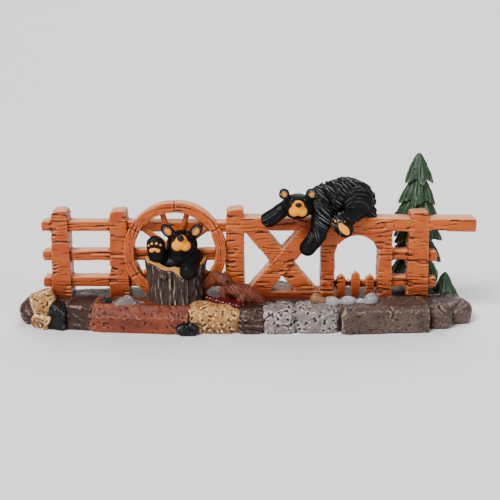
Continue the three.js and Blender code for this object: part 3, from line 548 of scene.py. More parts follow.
ARCH_OPENING_LEFT = 54
ARCH_OPENING_WIDTH = 26.3
ARCH_OPENING_RIGHT = ARCH_OPENING_LEFT + ARCH_OPENING_WIDTH
ARCH_OPENING_TOP = 54
ARCH_LEG = 8.5
ARCH_LEFT = ARCH_OPENING_LEFT - ARCH_LEG
ARCH_RIGHT = ARCH_OPENING_RIGHT + ARCH_LEG
ARCH_FORWARD = 1
PICKET_COUNT = 3
PICKET_WIDTH = 5.4
PICKET_HEIGHT = 17
PICKET_THICKNESS = 5
PICKET_POINT = 2.4
PICKET_STEP = 2
PICKET_SET_BACK = 3
GATE_RAIL_RISE = 6
GATE_RAIL_HEIGHT = 4
GATE_RAIL_LAP = 1.5

END_POST_LEFT = 99
END_POST_WIDTH = 11.5
END_POST_TOP = 69
END_RAILS = (21.5, 38)
END_RAIL_FALL = 0.6


def rounded(corners, radius, steps=5):
    """An outline with its corners rounded."""
    outline = []
    for before, corner, after in zip(corners[-1:] + corners[:-1], corners, corners[1:] + corners[:1]):
        corner = Vector(corner)
        inwards = (Vector(before) - corner).normalized() * radius
        outwards = (Vector(after) - corner).normalized() * radius
        for i in range(steps + 1):
            t = i / steps
            outline.append(corner + inwards * (1 - t) ** 2 + outwards * t ** 2)
    return outline


def add_board(shapes, outline, front, thickness):
    """A board drawn by its outline as seen from the front, (x, z) in mm."""
    board = bmesh.new()
    face = board.faces.new([board.verts.new((x, front, z)) for x, z in outline])
    thicken(board, [face], (0, thickness, 0))
    add_copy(shapes, board, Matrix.Identity(4))


def sawn(shapes, name, seed, knots=(), joints=None, slender=None, bend=None, voxel=TIMBER_VOXEL):
    """Fuses boards and cuts the grain in: wavy lines, short deep strokes and ringed knots.

    joints says where lengths of timber meet, slender where it is too thin for deep grain, and bend
    gives the places that the grain runs along.
    """
    piece = fused(shapes, name, voxel, 3)
    spots = points_of(piece)
    normals = points_of(piece, "normal")
    run = spots if bend is None else bend(spots)
    level = run[:, 2] + 2.4 * uneven(run, (24, 16, 18), seed) + 0.8 * uneven(run, (8, 8, 5), seed + 1)
    plain = np.ones(len(spots))
    rings = np.zeros(len(spots))
    for x, z, size in knots:
        wide = (spots[:, 0] - x) / 2.2 + 0.4 * uneven(spots, 3, seed + 9)
        out = np.hypot(wide, spots[:, 2] - z + 0.4 * uneven(spots, 3, seed + 10))
        near = np.clip((size - out) / 0.8, 0, 1)
        level += 0.9 * size * np.exp(-(out / size / 1.5) ** 2) * np.clip((spots[:, 2] - z) / size, -1, 1)
        rings += near * np.clip(1.5 * np.cos(out / KNOT_RING * 2 * math.pi), 0, 1)
        plain *= 1 - near
    uneven_pitch = level + 1.2 * uneven(np.stack([run[:, 0] / 9, run[:, 1] / 9, level], 1), 2.7, seed + 2)
    phase = uneven_pitch / GRAIN_PITCH
    lines = np.clip(1 - np.abs(phase - np.round(phase)) * 2 * GRAIN_PITCH / GRAIN_WIDTH, 0, 1)
    drawn = np.stack([run[:, 0], run[:, 1], level], 1)
    fade = np.clip(0.4 + 1.5 * uneven(drawn, (11, 9, 1.9), seed + 3), 0, 1)
    strokes = np.clip(3.4 * uneven(drawn, (STROKE_LENGTH, 7, 1.3), seed + 4) - 1.3, 0, 1)
    # Up-facing faces: cut shallower, and given the patch colour, which is partly painted light from above.
    top = np.clip((averaged(piece, normals, 2)[:, 2] - 0.45) / 0.3, 0, 1)
    height = -GRAIN_DEPTH * (lines * fade * plain + 1.2 * rings) * (1 - 0.6 * top)
    height -= STROKE_DEPTH * strokes * plain * (1 - 0.8 * top)
    height += 0.1 * uneven(spots, (6, 5, 1.3), seed + 5) + 0.22 * uneven(spots, (9, 9, 6), seed + 6)
    if slender is not None:
        height *= 1 - 0.8 * slender(spots)
    if joints is not None:
        height -= STROKE_DEPTH * joints(spots)
    carve(piece, spots + normals * height[:, None], top, gain=2.4)
    return piece


def leg(left, width, top, splay=1.0, fall=1.0):
    """Corners of an upright post that spreads a little at its foot."""
    right = left + width
    return [(left - splay, BOARD_FOOT), (right + splay, BOARD_FOOT), (right, top), (left, top - fall)]


def bar(left, right, bottom, height, fall=0.0):
    """Corners of a rail, its left end a little lower."""
    top = bottom + height
    return [(left, bottom - fall), (right, bottom), (right, top), (left, top - fall)]


# Orange-brown paint under a red-brown wash: the wash stays in the grain, and the timber is darker red-brown
# towards the ground. Up-facing tops take a pale pink: partly their own paint, partly painted light from
# above.
timber = resin_paint(
    "grain_washed_resin", ("#A24218", "#B4541C"), "#2C0C03", "#CC7A3A", 9, patch="#E49C70",
    foot=("#5F200B", 15, 27), streak=(3.5, 1, 1), gloss=0.42, coat=0.05, wash=(0.44, 0.14),
    dry_brush_and_sheen=(0.72, 1.05))

bay = bmesh.new()
for left in (BAY_LEFT, BAY_RIGHT_POST):
    corners = leg(left + 0.2, BAY_POST_WIDTH - 0.4, BAY_TOP, 1.2)
    add_board(bay, rounded(corners, POST_ROUNDING), BOARD_FACE, BOARD_THICKNESS)
for bottom in BAY_RAILS:
    corners = bar(BAY_LEFT - RAIL_OVERRUN, RAILS_END, bottom, RAIL_HEIGHT, 0.8 * math.sin(bottom))
    add_board(bay, rounded(corners, RAIL_ROUNDING), RAIL_FACE, RAIL_THICKNESS)
bay = sawn(bay, "rail_bay", 100, [(BAY_RIGHT_POST + 5, 31, 1.8)])
hand_over(bay, timber)

WHEEL_FACE = BOARD_FACE - WHEEL_PROUD
WHEEL_INSIDE = WHEEL_RADIUS - WHEEL_RIM


def round_wheel(spots):
    """Places measured round the rim, through it and out from the hub, so that the grain follows the rim."""
    x = spots[:, 0] - WHEEL_X
    z = spots[:, 2] - WHEEL_Z
    return np.stack([np.arctan2(z, x) * WHEEL_RADIUS, spots[:, 1], np.hypot(x, z)], 1)


def wheel_joints(spots):
    """Where the curved lengths of the rim meet."""
    around, _, out = round_wheel(spots).T
    turn = around / WHEEL_RADIUS / (2 * math.pi) * WHEEL_SEGMENTS + 0.5
    off = np.abs(turn - np.round(turn)) / WHEEL_SEGMENTS * 2 * math.pi * out
    return np.clip(1 - off / 0.8, 0, 1) * (out > WHEEL_INSIDE)


def spokes(spots):
    """The spokes and the hub, too slender for deep grain."""
    return round_wheel(spots)[:, 2] < WHEEL_INSIDE - 0.5


wheel = bmesh.new()
middle = (WHEEL_X, WHEEL_FACE + WHEEL_THICKNESS / 2, WHEEL_Z)
rim = bmesh.new()
upright = Matrix.Rotation(math.pi / 2, 4, "X")
for radius in (WHEEL_RADIUS, WHEEL_INSIDE):
    place = Matrix.Translation((WHEEL_X, WHEEL_FACE, WHEEL_Z)) @ upright
    bmesh.ops.create_circle(rim, segments=96, radius=radius, matrix=place)
bmesh.ops.bridge_loops(rim, edges=rim.edges[:])
thicken(rim, rim.faces[:], (0, WHEEL_THICKNESS, 0))
add_copy(wheel, rim, Matrix.Identity(4))
place = Matrix.Translation(middle) @ upright
bmesh.ops.create_cone(
    wheel, cap_ends=True, segments=32, radius1=HUB_RADIUS, radius2=HUB_RADIUS,
    depth=WHEEL_THICKNESS, matrix=place)
for i in range(SPOKE_COUNT):
    turn = Matrix.Rotation((i + 0.5) / SPOKE_COUNT * 2 * math.pi, 4, "Y")
    place = Matrix.Translation(middle) @ turn @ Matrix.Translation((0, 0, (WHEEL_INSIDE + 1) / 2))
    bmesh.ops.create_cone(
        wheel, cap_ends=True, segments=16, radius1=SPOKE_RADIUS, radius2=SPOKE_RADIUS * 0.85,
        depth=WHEEL_INSIDE + 1, matrix=place)
wheel = sawn(wheel, "wheel", 110, (), wheel_joints, spokes, round_wheel, WHEEL_VOXEL)
hand_over(wheel, timber)

beam = bmesh.new()
corners = [(RAILS_END, BEAM_UNDERSIDE), (BEAM_RIGHT, BEAM_UNDERSIDE - 0.8)]
corners += [(BEAM_RIGHT, BEAM_TOP - 0.6), (RAILS_END, BEAM_TOP)]
add_board(beam, rounded(corners, BEAM_ROUNDING), BOARD_FACE, BOARD_THICKNESS)
beam = sawn(beam, "top_rail", 120)
hand_over(beam, timber)

cross = bmesh.new()
corners = leg(CROSS_POST_LEFT, CROSS_POST_WIDTH, CROSS_POST_TOP, 1.0, 1.2)
add_board(cross, rounded(corners, POST_ROUNDING), BOARD_FACE, BOARD_THICKNESS)
near = CROSS_POST_LEFT + CROSS_POST_WIDTH - 2
far = ARCH_LEFT + 2
low = GROUND_HEIGHT
high = BEAM_UNDERSIDE + 2
spread = CROSS_BOARD_WIDTH * math.hypot(far - near - 4, high - low) / (high - low)
rising = [(near, low), (near + spread, low), (far, high), (far - spread, high)]
falling = [(far - spread, low), (far, low), (near + spread, high), (near, high)]
add_board(cross, rising, BOARD_FACE, BOARD_THICKNESS)
add_board(cross, falling, BOARD_FACE + CROSS_SET_BACK, BOARD_THICKNESS - 2 * CROSS_SET_BACK)
add_board(cross, bar(near, far, BOARD_FOOT, low + SILL_HEIGHT - BOARD_FOOT), BOARD_FACE, BOARD_THICKNESS)
cross = sawn(cross, "crossbuck", 130, [((near + far) / 2 - 2, (low + high) / 2, 2.0)])
hand_over(cross, timber)


def arc(x, z, radius, start, end, steps=24):
    """Points along an arc, its angles in degrees from +X."""
    angles = [math.radians(start + (end - start) * i / steps) for i in range(steps + 1)]
    return [(x + radius * math.cos(a), z + radius * math.sin(a)) for a in angles]


arch = bmesh.new()
hollow = ARCH_OPENING_WIDTH / 2
outline = [(ARCH_LEFT, BOARD_FOOT), (ARCH_OPENING_LEFT, BOARD_FOOT)]
outline += arc(ARCH_OPENING_LEFT + hollow, ARCH_OPENING_TOP - hollow, hollow, 180, 0)
outline += [(ARCH_OPENING_RIGHT, BOARD_FOOT), (ARCH_RIGHT, BOARD_FOOT)]
outline += [(ARCH_RIGHT, BEAM_TOP), (ARCH_LEFT, BEAM_TOP)]
ARCH_FACE = BOARD_FACE - ARCH_FORWARD
PICKET_FACE = ARCH_FACE + PICKET_SET_BACK
add_board(arch, outline, ARCH_FACE, BOARD_THICKNESS)
for i in range(PICKET_COUNT):
    x = ARCH_OPENING_LEFT + (i + 0.5) * ARCH_OPENING_WIDTH / PICKET_COUNT
    top = GROUND_HEIGHT + PICKET_HEIGHT - PICKET_STEP * abs(i - (PICKET_COUNT - 1) / 2)
    shoulder = top - PICKET_POINT
    side = PICKET_WIDTH / 2
    picket = [(x - side, BOARD_FOOT), (x + side, BOARD_FOOT)]
    picket += [(x + side, shoulder), (x, top), (x - side, shoulder)]
    add_board(arch, picket, PICKET_FACE, PICKET_THICKNESS)
low = GROUND_HEIGHT + GATE_RAIL_RISE
corners = bar(ARCH_OPENING_LEFT - 2, ARCH_OPENING_RIGHT + 2, low, GATE_RAIL_HEIGHT)
add_board(arch, corners, PICKET_FACE + PICKET_THICKNESS - GATE_RAIL_LAP, PICKET_THICKNESS)
arch = sawn(arch, "arch_gate", 140)
hand_over(arch, timber)

end_bay = bmesh.new()
corners = leg(END_POST_LEFT, END_POST_WIDTH, END_POST_TOP, 1.0)
add_board(end_bay, rounded(corners, POST_ROUNDING), BOARD_FACE, BOARD_THICKNESS)
rails_end = END_POST_LEFT + END_POST_WIDTH + RAIL_OVERRUN
for bottom in END_RAILS:
    corners = bar(ARCH_RIGHT - 3, rails_end, bottom - END_RAIL_FALL, RAIL_HEIGHT, -END_RAIL_FALL)
    add_board(end_bay, rounded(corners, RAIL_ROUNDING), RAIL_FACE, RAIL_THICKNESS)
end_bay = sawn(end_bay, "end_bay", 150, [(END_POST_LEFT + 5.8, 51, 1.8)])
hand_over(end_bay, timber)

# Hollow stump
# A broken-off trunk that the first bear sits in: ridged bark outside, bare wood round the broken rim,
# lower at the front. Sculpted and cast with the rest, painted brown and dry-brushed tan.
STUMP_X = -42.5
STUMP_Y = -6.5
STUMP_RADIUS = 17.4
STUMP_FLARE = 1.5
STUMP_RIM_RADIUS = 19.4
STUMP_TOP = 42
STUMP_WALL = 3.4
STUMP_HOLLOW = 12
STUMP_BREAK = 3.4
STUMP_SPLIT = 5.5
BARK_PITCH = 1.5
BURL_RADIUS = 2.8
STUMP_VOXEL = 0.48


def lathed(shapes, profile, x, y, steps):
    """A closed body turned about an upright axis, from a profile of radii and heights."""
    points = [shapes.verts.new((x + r, y, z)) for r, z in profile]
    edges = [shapes.edges.new(pair) for pair in zip(points, points[1:])]
    bmesh.ops.spin(
        shapes, geom=points + edges, cent=(x, y, 0), axis=(0, 0, 1), angle=2 * math.pi,
        steps=steps, use_merge=True)
    bmesh.ops.remove_doubles(shapes, verts=shapes.verts[:], dist=0.001)
    bmesh.ops.recalc_face_normals(shapes, faces=shapes.faces[:])


stump = bmesh.new()
inside = STUMP_RIM_RADIUS - STUMP_WALL
profile = [
    (0, BOARD_FOOT - 1), (STUMP_RADIUS + STUMP_FLARE, BOARD_FOOT - 1), (STUMP_RADIUS, GROUND_HEIGHT + 5),
    (STUMP_RADIUS - 0.4, GROUND_HEIGHT + 14), (STUMP_RADIUS + 0.4, STUMP_TOP - 7),
    (STUMP_RIM_RADIUS, STUMP_TOP), (inside, STUMP_TOP),
    (inside - 3, STUMP_TOP - STUMP_HOLLOW), (0, STUMP_TOP - STUMP_HOLLOW)]
lathed(stump, profile, STUMP_X, STUMP_Y, 64)
burl = Matrix.Translation((STUMP_X - 6.5, STUMP_Y - STUMP_RADIUS + 1, STUMP_TOP - 7))
bmesh.ops.create_icosphere(stump, subdivisions=3, radius=BURL_RADIUS, matrix=burl)
stump = fused(stump, "stump", STUMP_VOXEL, 1)
spots = points_of(stump)
x, y = spots[:, 0] - STUMP_X, spots[:, 1] - STUMP_Y
turn = np.arctan2(y, x)
out = np.hypot(x, y)
front = np.exp(-((turn + math.pi / 2) / 0.8) ** 2)
ragged = 1.3 * uneven(np.stack([x / 2, y / 2, 0 * x], 1), 2.2, 5) + 0.5 * np.sin(turn * 5 + 1)
fall = STUMP_BREAK * front
share = np.clip((spots[:, 2] - 24) / (STUMP_TOP - 24), 0, 1) * (out > inside - 3.2)
spots[:, 2] += share * (ragged - fall)
roots = np.clip((GROUND_HEIGHT + 8 - spots[:, 2]) / 8, 0, 1) * np.clip(np.sin(turn * 9 + 0.6), 0, 1)
wrapped = np.stack([turn * STUMP_RADIUS, out * 0.4, spots[:, 2]], 1)
ridges = uneven(wrapped, (BARK_PITCH, 6, 7), 6) + 0.4 * (1 - 2.6 * np.abs(uneven(wrapped, (2.6, 6, 9), 8)))
fine = uneven(wrapped, (0.9, 5, 3.4), 7)
split = STUMP_SPLIT * np.clip(1 - np.abs(x - 1.5 + 0.3 * (spots[:, 2] - STUMP_TOP)) / 4.5, 0, 1) * (y < 0)
bark_top = STUMP_TOP + ragged - fall - 2.6 - split
bark = (out > inside + 0.8) & (spots[:, 2] < bark_top)
height = np.where(bark, 0.9 * ridges + 0.35 * fine + 1.2 * roots, 0.2 * fine - 0.5)
normals = averaged(stump, points_of(stump, "normal"), 2)
bare = np.clip((spots[:, 2] - bark_top) / 0.8, 0, 1)
carve(stump, spots + normals * height[:, None], bare, gain=1.9)
# Umber bark under a grey-tan dry-brush, with honey-coloured bare wood along the break.
bark_paint = resin_paint(
    "dry_brushed_bark", ("#2E2220", "#3A2924"), "#0A0504", "#948070", 5, patch="#CC9048",
    streak=(1, 1, 3), dry_brush_and_sheen=(0.6, 0.95))
hand_over(stump, bark_paint)

# Bears
# Two black bears, one waving from the stump and one lying along the top rail, sculpted with the
# rest. Gloss black over grey dry-brush and a painted grey sheen, with tan muzzles, ears and pads painted in
# by hand.
SITTING_HEAD = Vector((-38.4, -12.5, STUMP_TOP + 9))
SITTING_WIDTH = 19
LYING_HEAD = Vector((30.6, -14, BEAM_TOP + 9))
LYING_WIDTH = 18.2
MUZZLE_RISE = 0.2
BEAR_VOXEL = 0.4


def add_lump(shapes, at, half, turn=0.0, detail=4):
    """A rounded lump with three half-widths, turned about the line of sight."""
    place = Matrix.Translation(at) @ Matrix.Rotation(turn, 4, "Y") @ Matrix.Diagonal((*half, 1))
    bmesh.ops.create_icosphere(shapes, subdivisions=detail, radius=1.0, matrix=place)


def route(points, share):
    """A point, at a share of its length, on a smooth curve through points."""
    span = share * (len(points) - 1)
    i = min(int(span), len(points) - 2)
    t = span - i
    a, b, c, d = (Vector(points[min(max(k, 0), len(points) - 1)]) for k in (i - 1, i, i + 1, i + 2))
    return b + 0.5 * t * (c - a + t * (2 * a - 5 * b + 4 * c - d + t * (3 * (b - c) + d - a)))


def add_limb(shapes, points, radii, steps=14, flat=1.0):
    """A rounded limb through points, each with its own radius."""
    for i in range(steps + 1):
        share = i / steps
        radius = float(np.interp(share * (len(radii) - 1), range(len(radii)), radii))
        add_lump(shapes, route(points, share), (radius, radius * flat, radius), detail=3)


def head_place(middle, width):
    """Turns shares of a bear's half head width into places in mm."""
    return lambda x, y, z: middle + width / 2 * Vector((x, y, z))


def add_head(shapes, middle, width, rise, long_ears):
    """Skull, ears and muzzle; rise lifts the muzzle, and long ears stand out like paddles."""
    at = head_place(middle, width)
    w = width / 2
    add_lump(shapes, at(0, 0, -0.15 * long_ears - 0.04), (w, 0.9 * w, (0.86 + 0.16 * long_ears) * w))
    for side in (-1, 1):
        ear = (0.36 * w, 0.23 * w, (0.37 + 0.17 * long_ears) * w)
        root = at(0.88 * side, 0.05, 0.78 - 0.04 * long_ears)
        add_lump(shapes, root, ear, (0.45 + 0.3 * long_ears) * side)
        add_lump(shapes, at(0.25 * side, -0.8, rise - 0.2), (0.35 * w, 0.36 * w, 0.34 * w))
    add_lump(shapes, at(0, -0.82, rise - 0.02), (0.4 * w, 0.42 * w, 0.46 * w))


def within(spots, at, half, turn=0.0, soft=0.12):
    """1 inside a rounded region, 0 outside it, over a soft edge; turned as a lump is."""
    away = (spots - np.array(at)) @ np.array(Matrix.Rotation(turn, 3, "Y"))
    out = np.sqrt(((away / np.array(half)) ** 2).sum(axis=1))
    return np.clip((1 - out) / soft + 0.5, 0, 1)


def head_marks(spots, middle, width, rise, long_ears):
    """Where a bear's head is tan: the heart-shaped muzzle and the insides of the ears, also alone."""
    at = head_place(middle, width)
    w = width / 2
    marks = within(spots, at(0, -1.1, rise + 0.1), (0.44 * w, 0.75 * w, 0.48 * w))
    ears = np.zeros(len(spots))
    for side in (-1, 1):
        cheek = within(spots, at(0.28 * side, -1.1, rise - 0.2), (0.34 * w, 0.75 * w, 0.34 * w))
        marks = np.maximum(marks, cheek)
        inner = (0.17 * w, 0.24 * w, (0.2 + 0.08 * long_ears) * w)
        spot = at(0.89 * side, -0.16, 0.8 - 0.04 * long_ears)
        ears = np.maximum(ears, within(spots, spot, inner, (0.45 + 0.3 * long_ears) * side, 0.3))
    return np.maximum(marks, ears), ears


def fur(spots, flow, seed, length=9, width=1.5):
    """Long locks that run along a direction in the plane of the front."""
    along = np.array((flow[0], 0, flow[1])) / math.hypot(*flow)
    over = np.array((-along[2], 0, along[0]))
    combed = np.stack([spots @ along, spots[:, 1], spots @ over], 1)
    return -np.abs(uneven(combed, (length, 3 * width, width), seed)) * 1.6 + 0.5


def dressed(shapes, name, marks, locks, material):
    """Fuses a bear, dents its ears, combs its fur, and stores where it is tan."""
    bear = fused(shapes, name, BEAR_VOXEL, 3)
    spots = points_of(bear)
    tan, ears = marks(spots)
    height = locks(spots) * (1 - tan) - 1.3 * ears + 0.06 * uneven(spots, 1.6, 3)
    carve(bear, spots + points_of(bear, "normal") * height[:, None], tan, gain=1.3)
    hand_over(bear, material)


def smooth_cast(shapes, name, voxel, material):
    """Fuses a piece that has no carving of its own, and hands it over."""
    piece = fused(shapes, name, voxel, 1)
    carve(piece, points_of(piece))
    hand_over(piece, material)


# Satin black, greyed on the locks and lumps: partly a dry brush, partly a painted grey sheen; the bare skin
# is honey tan.
black = resin_paint(
    "satin_black_resin", ("#0A0B0C", "#0E0F10"), "#020202", "#8E9296", 4, patch="#F59A20", gloss=0.46,
    coat=0.03, shine=0.09, wash=(0.4, 0.1), dry_brush_and_sheen=(0.58, 0.95), tooth=0.05)

PAW = Vector((-53.6, -19, 50.9))
RIM_PAW = Vector((-34, -24.8, 36.5))
bear = bmesh.new()
add_head(bear, SITTING_HEAD, SITTING_WIDTH, MUZZLE_RISE, 1)
add_lump(bear, SITTING_HEAD + Vector((-0.4, 1.5, -8.5)), (10.2, 8.8, 9.5))
add_lump(bear, (STUMP_X, STUMP_Y - 1.5, STUMP_TOP - 4), (14.5, 12, 8))
waving_arm = [(-47.5, -11, 36), (-51.5, -15, 41), PAW + Vector((0.2, 0.6, -2.5)), PAW]
add_limb(bear, waving_arm, [6.4, 6.0, 5.6, 5.2], 14, 0.8)
add_lump(bear, PAW, (5.7, 4.0, 5.8))
resting_arm = [(-31.5, -11, 42), (-32.5, -17, 40.5), RIM_PAW + Vector((0, 2.5, 2)), RIM_PAW]
add_limb(bear, resting_arm, [5.6, 5.4, 5.2, 5.4], 12)


def sitting_marks(spots):
    """The sitting bear's tan: the muzzle and the insides of its ears."""
    return head_marks(spots, SITTING_HEAD, SITTING_WIDTH, MUZZLE_RISE, 1)


def sitting_locks(spots):
    """Short locks that run down from the crown."""
    return 0.25 * fur(spots, (0.2, -1), 8, 7, 1.3) * (spots[:, 2] > SITTING_HEAD.z - 2)


dressed(bear, "sitting_bear", sitting_marks, sitting_locks, black)

pads = bmesh.new()
for side in (-1, 1):
    add_lump(pads, PAW + Vector((1.5 * side - 0.3, -3.55, -2.1)), (1.9, 0.75, 1.35), 0.35 * side)
add_lump(pads, PAW + Vector((-0.3, -3.8, -1.4)), (2.0, 0.6, 1.0))
for x, z in ((-3.7, 0.5), (-1.9, 1.8), (0.8, 2.0), (3.0, 0.9)):
    add_lump(pads, PAW + Vector((x, -3.9 + 0.1 * x * x, z)), (0.85, 0.7, 0.8))

at = head_place(LYING_HEAD, LYING_WIDTH)
w = LYING_WIDTH / 2
bear = bmesh.new()
add_head(bear, LYING_HEAD, LYING_WIDTH, 0, 0)
spine = [(1.0, 1.0, -0.1), (1.9, 1.35, 0.12), (3.2, 1.6, 0.26), (4.15, 1.65, 0.1), (4.6, 1.7, -0.25)]
add_limb(bear, [at(*spot) for spot in spine], [6.5, 10.2, 12.2, 10, 5.5], 18, 0.86)
near_arm = [at(1.5, 0.5, 0.0), at(1.55, 0.05, -0.9), at(1.3, -0.2, -1.9), at(0.68, -0.3, -2.75)]
add_limb(bear, near_arm, [6.6, 6, 5.4, 5], 16)
add_limb(bear, [at(-0.5, 0.35, 0), at(-1.25, 0.3, -0.55), at(-1.85, 0.25, -0.95)], [4.8, 4.6, 5])
add_lump(bear, at(4.0, 0.75, 0.05), (w * 1.05, w * 0.75, w * 1.05))
add_limb(bear, [at(3.9, 0.4, -0.5), at(3.3, 0.05, -0.85), at(3.05, -0.15, -1.1)], [5.2, 5, 4.6], 8)
add_lump(bear, at(2.95, -0.3, -1.27), (w * 0.62, w * 0.42, w * 0.86), -0.56)
add_lump(bear, at(5.0, 1.4, -0.8), (w * 0.36, w * 0.36, w * 0.45))


def lying_locks(spots):
    """Long locks down the back and round the thigh, steeper on the arm; the head stays smooth."""
    flank = np.clip((spots[:, 0] - 38) / 6, 0, 1) * np.clip((spots[:, 2] - 58) / 6, 0, 1)
    arm = np.clip((spots[:, 2] - 50) / 8, 0, 1) * np.clip((spots[:, 0] - 34) / 4, 0, 1) * (1 - flank)
    thigh = within(spots, at(4.0, 0.3, -0.1), (10, 14, 10), 0, 0.3)
    round_thigh = np.hypot(spots[:, 0] - at(4, 0, 0).x, spots[:, 2] - at(0, 0, -0.4).z)
    wound = np.stack([round_thigh, spots[:, 1] / 3, spots[:, 0] / 6], 1)
    arcs = np.clip(round_thigh / 4 - 0.8, 0, 1) * (0.5 - 1.6 * np.abs(uneven(wound, 1.4, 21)))
    back = fur(spots, (0.8, -0.6), 18, 11, 1.25) + 0.4 * fur(spots, (0.8, -0.6), 22, 6, 0.8)
    side_arm = fur(spots, (0.25, -1), 19, 9, 1.3)
    far_arm = np.clip((23 - spots[:, 0]) / 4, 0, 1) * 0.35 * fur(spots, (0.87, 0.5), 23, 8, 1.3)
    return flank * (back * (1 - thigh) + 0.6 * arcs * thigh) + 0.5 * arm * side_arm + far_arm


def lying_marks(spots):
    """The lying bear's tan is its head's own."""
    return head_marks(spots, LYING_HEAD, LYING_WIDTH, 0, 0)


dressed(bear, "lying_bear", lying_marks, lying_locks, black)

add_lump(pads, at(3, -0.66, -1.4), (0.27 * w, 0.12 * w, 0.5 * w), -0.7)
for i in range(5):
    spot = at(2.42 + 0.2 * i, -0.56, -0.9 + 0.12 * math.sin(i * math.pi / 4) - 0.04 * i)
    add_lump(pads, spot, (0.066 * w, 0.14 * w, 0.078 * w))
# Honey tan, the same hand-painted satin as the muzzles.
honey = resin_paint(
    "honey_painted_resin", ("#F2951E", "#F6A02E"), "#8A541A", "#F6C06A", 3, gloss=0.45, tooth=0.04)
smooth_cast(pads, "pads_and_toes", 0.3, honey)

gloss_parts = bmesh.new()
for middle, width, rise in ((SITTING_HEAD, SITTING_WIDTH, MUZZLE_RISE), (LYING_HEAD, LYING_WIDTH, 0)):
    at = head_place(middle, width)
    w = width / 2
    add_lump(gloss_parts, at(0, -1.22, 1.3 * rise + 0.3), (0.22 * w, 0.17 * w, (0.165 + 0.25 * rise) * w))
    for side in (-1, 1):
        add_lump(gloss_parts, at(0.4 * side, -0.84, rise + 0.52), (0.11 * w, 0.12 * w, 0.1 * w))
# Clear-lacquered black: each nose and eye has one sharp highlight.
lacquer = resin_paint(
    "lacquered_black", ("#0B0B0C", "#0E0E10"), "#050505", "#202224", 3, gloss=0.14, coat=0.2,
    shine=0.12, tooth=0.0)
smooth_cast(gloss_parts, "noses_and_eyes", 0.25, lacquer)

# Conifers
# A tall fir behind the end post and a young one at its foot: tiers of drooping boughs on a straight
# trunk, sculpted with the rest, with the needles cut in as fine grooves under green paint.
BOUGH_LOBES = 5
BOUGH_DROOP = 3.4
NEEDLE_PITCH = 1.35
NEEDLE_DEPTH = 0.55
TALL_FIR = (106, 14, 101.5)
TALL_TIERS = [(86, 8.0), (73, 10.2), (61.5, 13.4), (49.5, 14.0), (37.5, 14.6), (24.5, 15.2)]
TALL_VOXEL = 0.58
YOUNG_FIR = (124.5, 10, 27)
YOUNG_TIERS = [(20.6, 4.4), (15.4, 7.2), (10.2, 9.8)]
YOUNG_VOXEL = 0.5


def skirt(foot, top, reach, turn):
    """One tier of boughs round the trunk: a bell whose hem hangs down in points."""
    bell = bmesh.new()
    profile = [(0, 1), (0.16, 0.95), (0.4, 0.74), (0.66, 0.46), (0.88, 0.2), (1, 0)]
    profile += [(0.8, -0.04), (0.4, 0.1), (0, 0.2)]
    lathed(bell, [(reach * r, (top - foot) * z) for r, z in profile], 0, 0, 60)
    for vert in bell.verts:
        out = math.hypot(vert.co.x, vert.co.y) / reach
        angle = math.atan2(vert.co.y, vert.co.x)
        wave = math.cos(BOUGH_LOBES * angle + turn) + 0.25 * math.cos(2 * BOUGH_LOBES * angle + 2.1 * turn)
        vert.co.x *= 1 + 0.15 * wave * out
        vert.co.y *= 1 + 0.15 * wave * out
        vert.co.z -= BOUGH_DROOP * (0.4 + 0.5 * wave) * out ** 3
    return bell


def conifer(name, x, y, top, tiers, seed, voxel):
    """Tiers of drooping boughs round a trunk, each given as the height of its hem and its reach."""
    shapes = bmesh.new()
    foot = GROUND_HEIGHT - 3
    place = Matrix.Translation((x, y, (foot + top) / 2 - 3))
    thick = tiers[-1][1] * 0.26
    bmesh.ops.create_cone(
        shapes, cap_ends=True, segments=20, radius1=thick, radius2=thick * 0.4, depth=top - foot - 6,
        matrix=place)
    crown = top
    for i, (hem, reach) in enumerate(tiers):
        add_copy(shapes, skirt(hem, crown, reach, 1.9 * i + seed), Matrix.Translation((x, y, hem)))
        crown = hem + 0.5 * reach
    tree = fused(shapes, name, voxel, 2)
    spots = points_of(tree)
    dx, dy = spots[:, 0] - x, spots[:, 1] - y
    turn = np.arctan2(dy, dx)
    out = np.hypot(dx, dy)
    wrapped = np.stack([turn * tiers[-1][1] * 0.7, out * 0.2, spots[:, 2]], 1)
    grooves = 1 - np.abs(uneven(wrapped, (NEEDLE_PITCH, 4, 10), seed)) * 2.4
    height = NEEDLE_DEPTH * np.clip(grooves, -0.9, 1) * np.clip(out / 4, 0.3, 1)
    height += 0.35 * uneven(spots, 3.4, seed + 1)
    carve(tree, spots + points_of(tree, "normal") * height[:, None], gain=1.7)
    return tree


# Dark green with a lighter green dragged over the needles, nearly black between the boughs.
needles = resin_paint(
    "dry_brushed_green", ("#243A29", "#2D432F"), "#080E09", "#58704C", 6, gloss=0.42,
    wash=(0.45, 0.15), dry_brush_and_sheen=(0.6, 1.0))
hand_over(conifer("tall_fir", *TALL_FIR, TALL_TIERS, 7, TALL_VOXEL), needles)
hand_over(conifer("young_fir", *YOUNG_FIR, YOUNG_TIERS, 9, YOUNG_VOXEL), needles)

# Small animal with its berries
# A brown squirrel that noses up at the stump, with a heap of dark berries, a leaf and twigs at its
# feet. Sculpted and cast with the rest; the berries are lacquered.
SQUIRREL_X = -2.5
SQUIRREL_Y = -17
BERRY_RADIUS = 2.3
BERRY_COUNT = 11


def by_squirrel(x, y, z):
    """A place in mm measured from the animal's feet."""
    return Vector((SQUIRREL_X + x, SQUIRREL_Y + y, GROUND_HEIGHT + z))


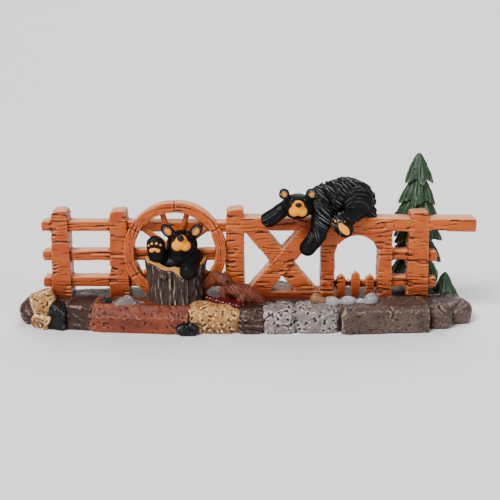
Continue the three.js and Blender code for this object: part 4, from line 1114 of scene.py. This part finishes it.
squirrel = bmesh.new()
add_lump(squirrel, by_squirrel(-10.2, 0, 15.0), (4.7, 3.7, 4.2), 0.5)
snout = [by_squirrel(-12, -0.2, 15.8), by_squirrel(-14.4, 0, 17.2), by_squirrel(-16.2, 0.2, 18)]
add_limb(squirrel, snout, [3.7, 3.1, 2.3])
add_lump(squirrel, by_squirrel(-9.6, 0.4, 18.9), (1.7, 1.1, 2.2), 0.3)
foreleg = [by_squirrel(-9.5, -0.6, 11.5), by_squirrel(-11.4, -1.2, 8), by_squirrel(-10.6, -2, 2.6)]
add_limb(squirrel, foreleg, [2.6, 1.8, 1.6])
add_limb(squirrel, [by_squirrel(1, -1.8, 5.5), by_squirrel(-1.6, -3.6, 1.6)], [3.4, 2.2], 6)
body = [(-7.6, 0.5, 9.5), (-1.5, 1, 8), (5, 0.6, 5.4), (13, 0, 1.2)]
add_limb(squirrel, [by_squirrel(*spot) for spot in body], [3.8, 5.4, 5.4, 2.2], 16)
squirrel = fused(squirrel, "squirrel", 0.4, 2)
spots = points_of(squirrel)
height = 0.7 * fur(spots, (0.6, -0.8), 40, 5, 1.0)
height *= np.clip((spots[:, 0] - SQUIRREL_X + 9) / 3, 0.4, 1)
carve(squirrel, spots + points_of(squirrel, "normal") * height[:, None], gain=2.0)
pelt = resin_paint("brown_washed_pelt", ("#5A281A", "#66301F"), "#1A0905", "#976344", 4)
hand_over(squirrel, pelt)

eye = bmesh.new()
add_lump(eye, by_squirrel(-8.6, -3.3, 14.9), (1.15, 0.9, 1.1))
smooth_cast(eye, "squirrel_eye", 0.22, lacquer)

berries = bmesh.new()
for i in range(BERRY_COUNT):
    share = i / (BERRY_COUNT - 1)
    spot = by_squirrel(
        -20.3 + 19.8 * share, -0.4 - 6 * share - 3.4 * (i % 2), 3.2 - 2.0 * share + 1.4 * chance(i + 90))
    size = BERRY_RADIUS * (0.9 + 0.25 * chance(i + 40))
    add_lump(berries, spot, (size * 1.15, size, size * 0.92), 0.6 * chance(i + 60), 3)
# Dark red under clear lacquer: wet-looking, with small sharp highlights.
cherry = resin_paint(
    "lacquered_red", ("#440709", "#540C0F"), "#140203", "#7A1C1A", 3, gloss=0.2, coat=0.5, tooth=0.02)
smooth_cast(berries, "berries", 0.32, cherry)

litter = bmesh.new()
add_lump(litter, by_squirrel(18, 1, 0.6), (5, 3, 1.6), 0.15)
twig = [by_squirrel(7, -4, 0.4), by_squirrel(16, -5, 1), by_squirrel(26, -3.5, 0.4)]
add_limb(litter, twig, [0.9, 1.0, 0.7], 30)
smooth_cast(litter, "leaf_and_twig", 0.4, dark)
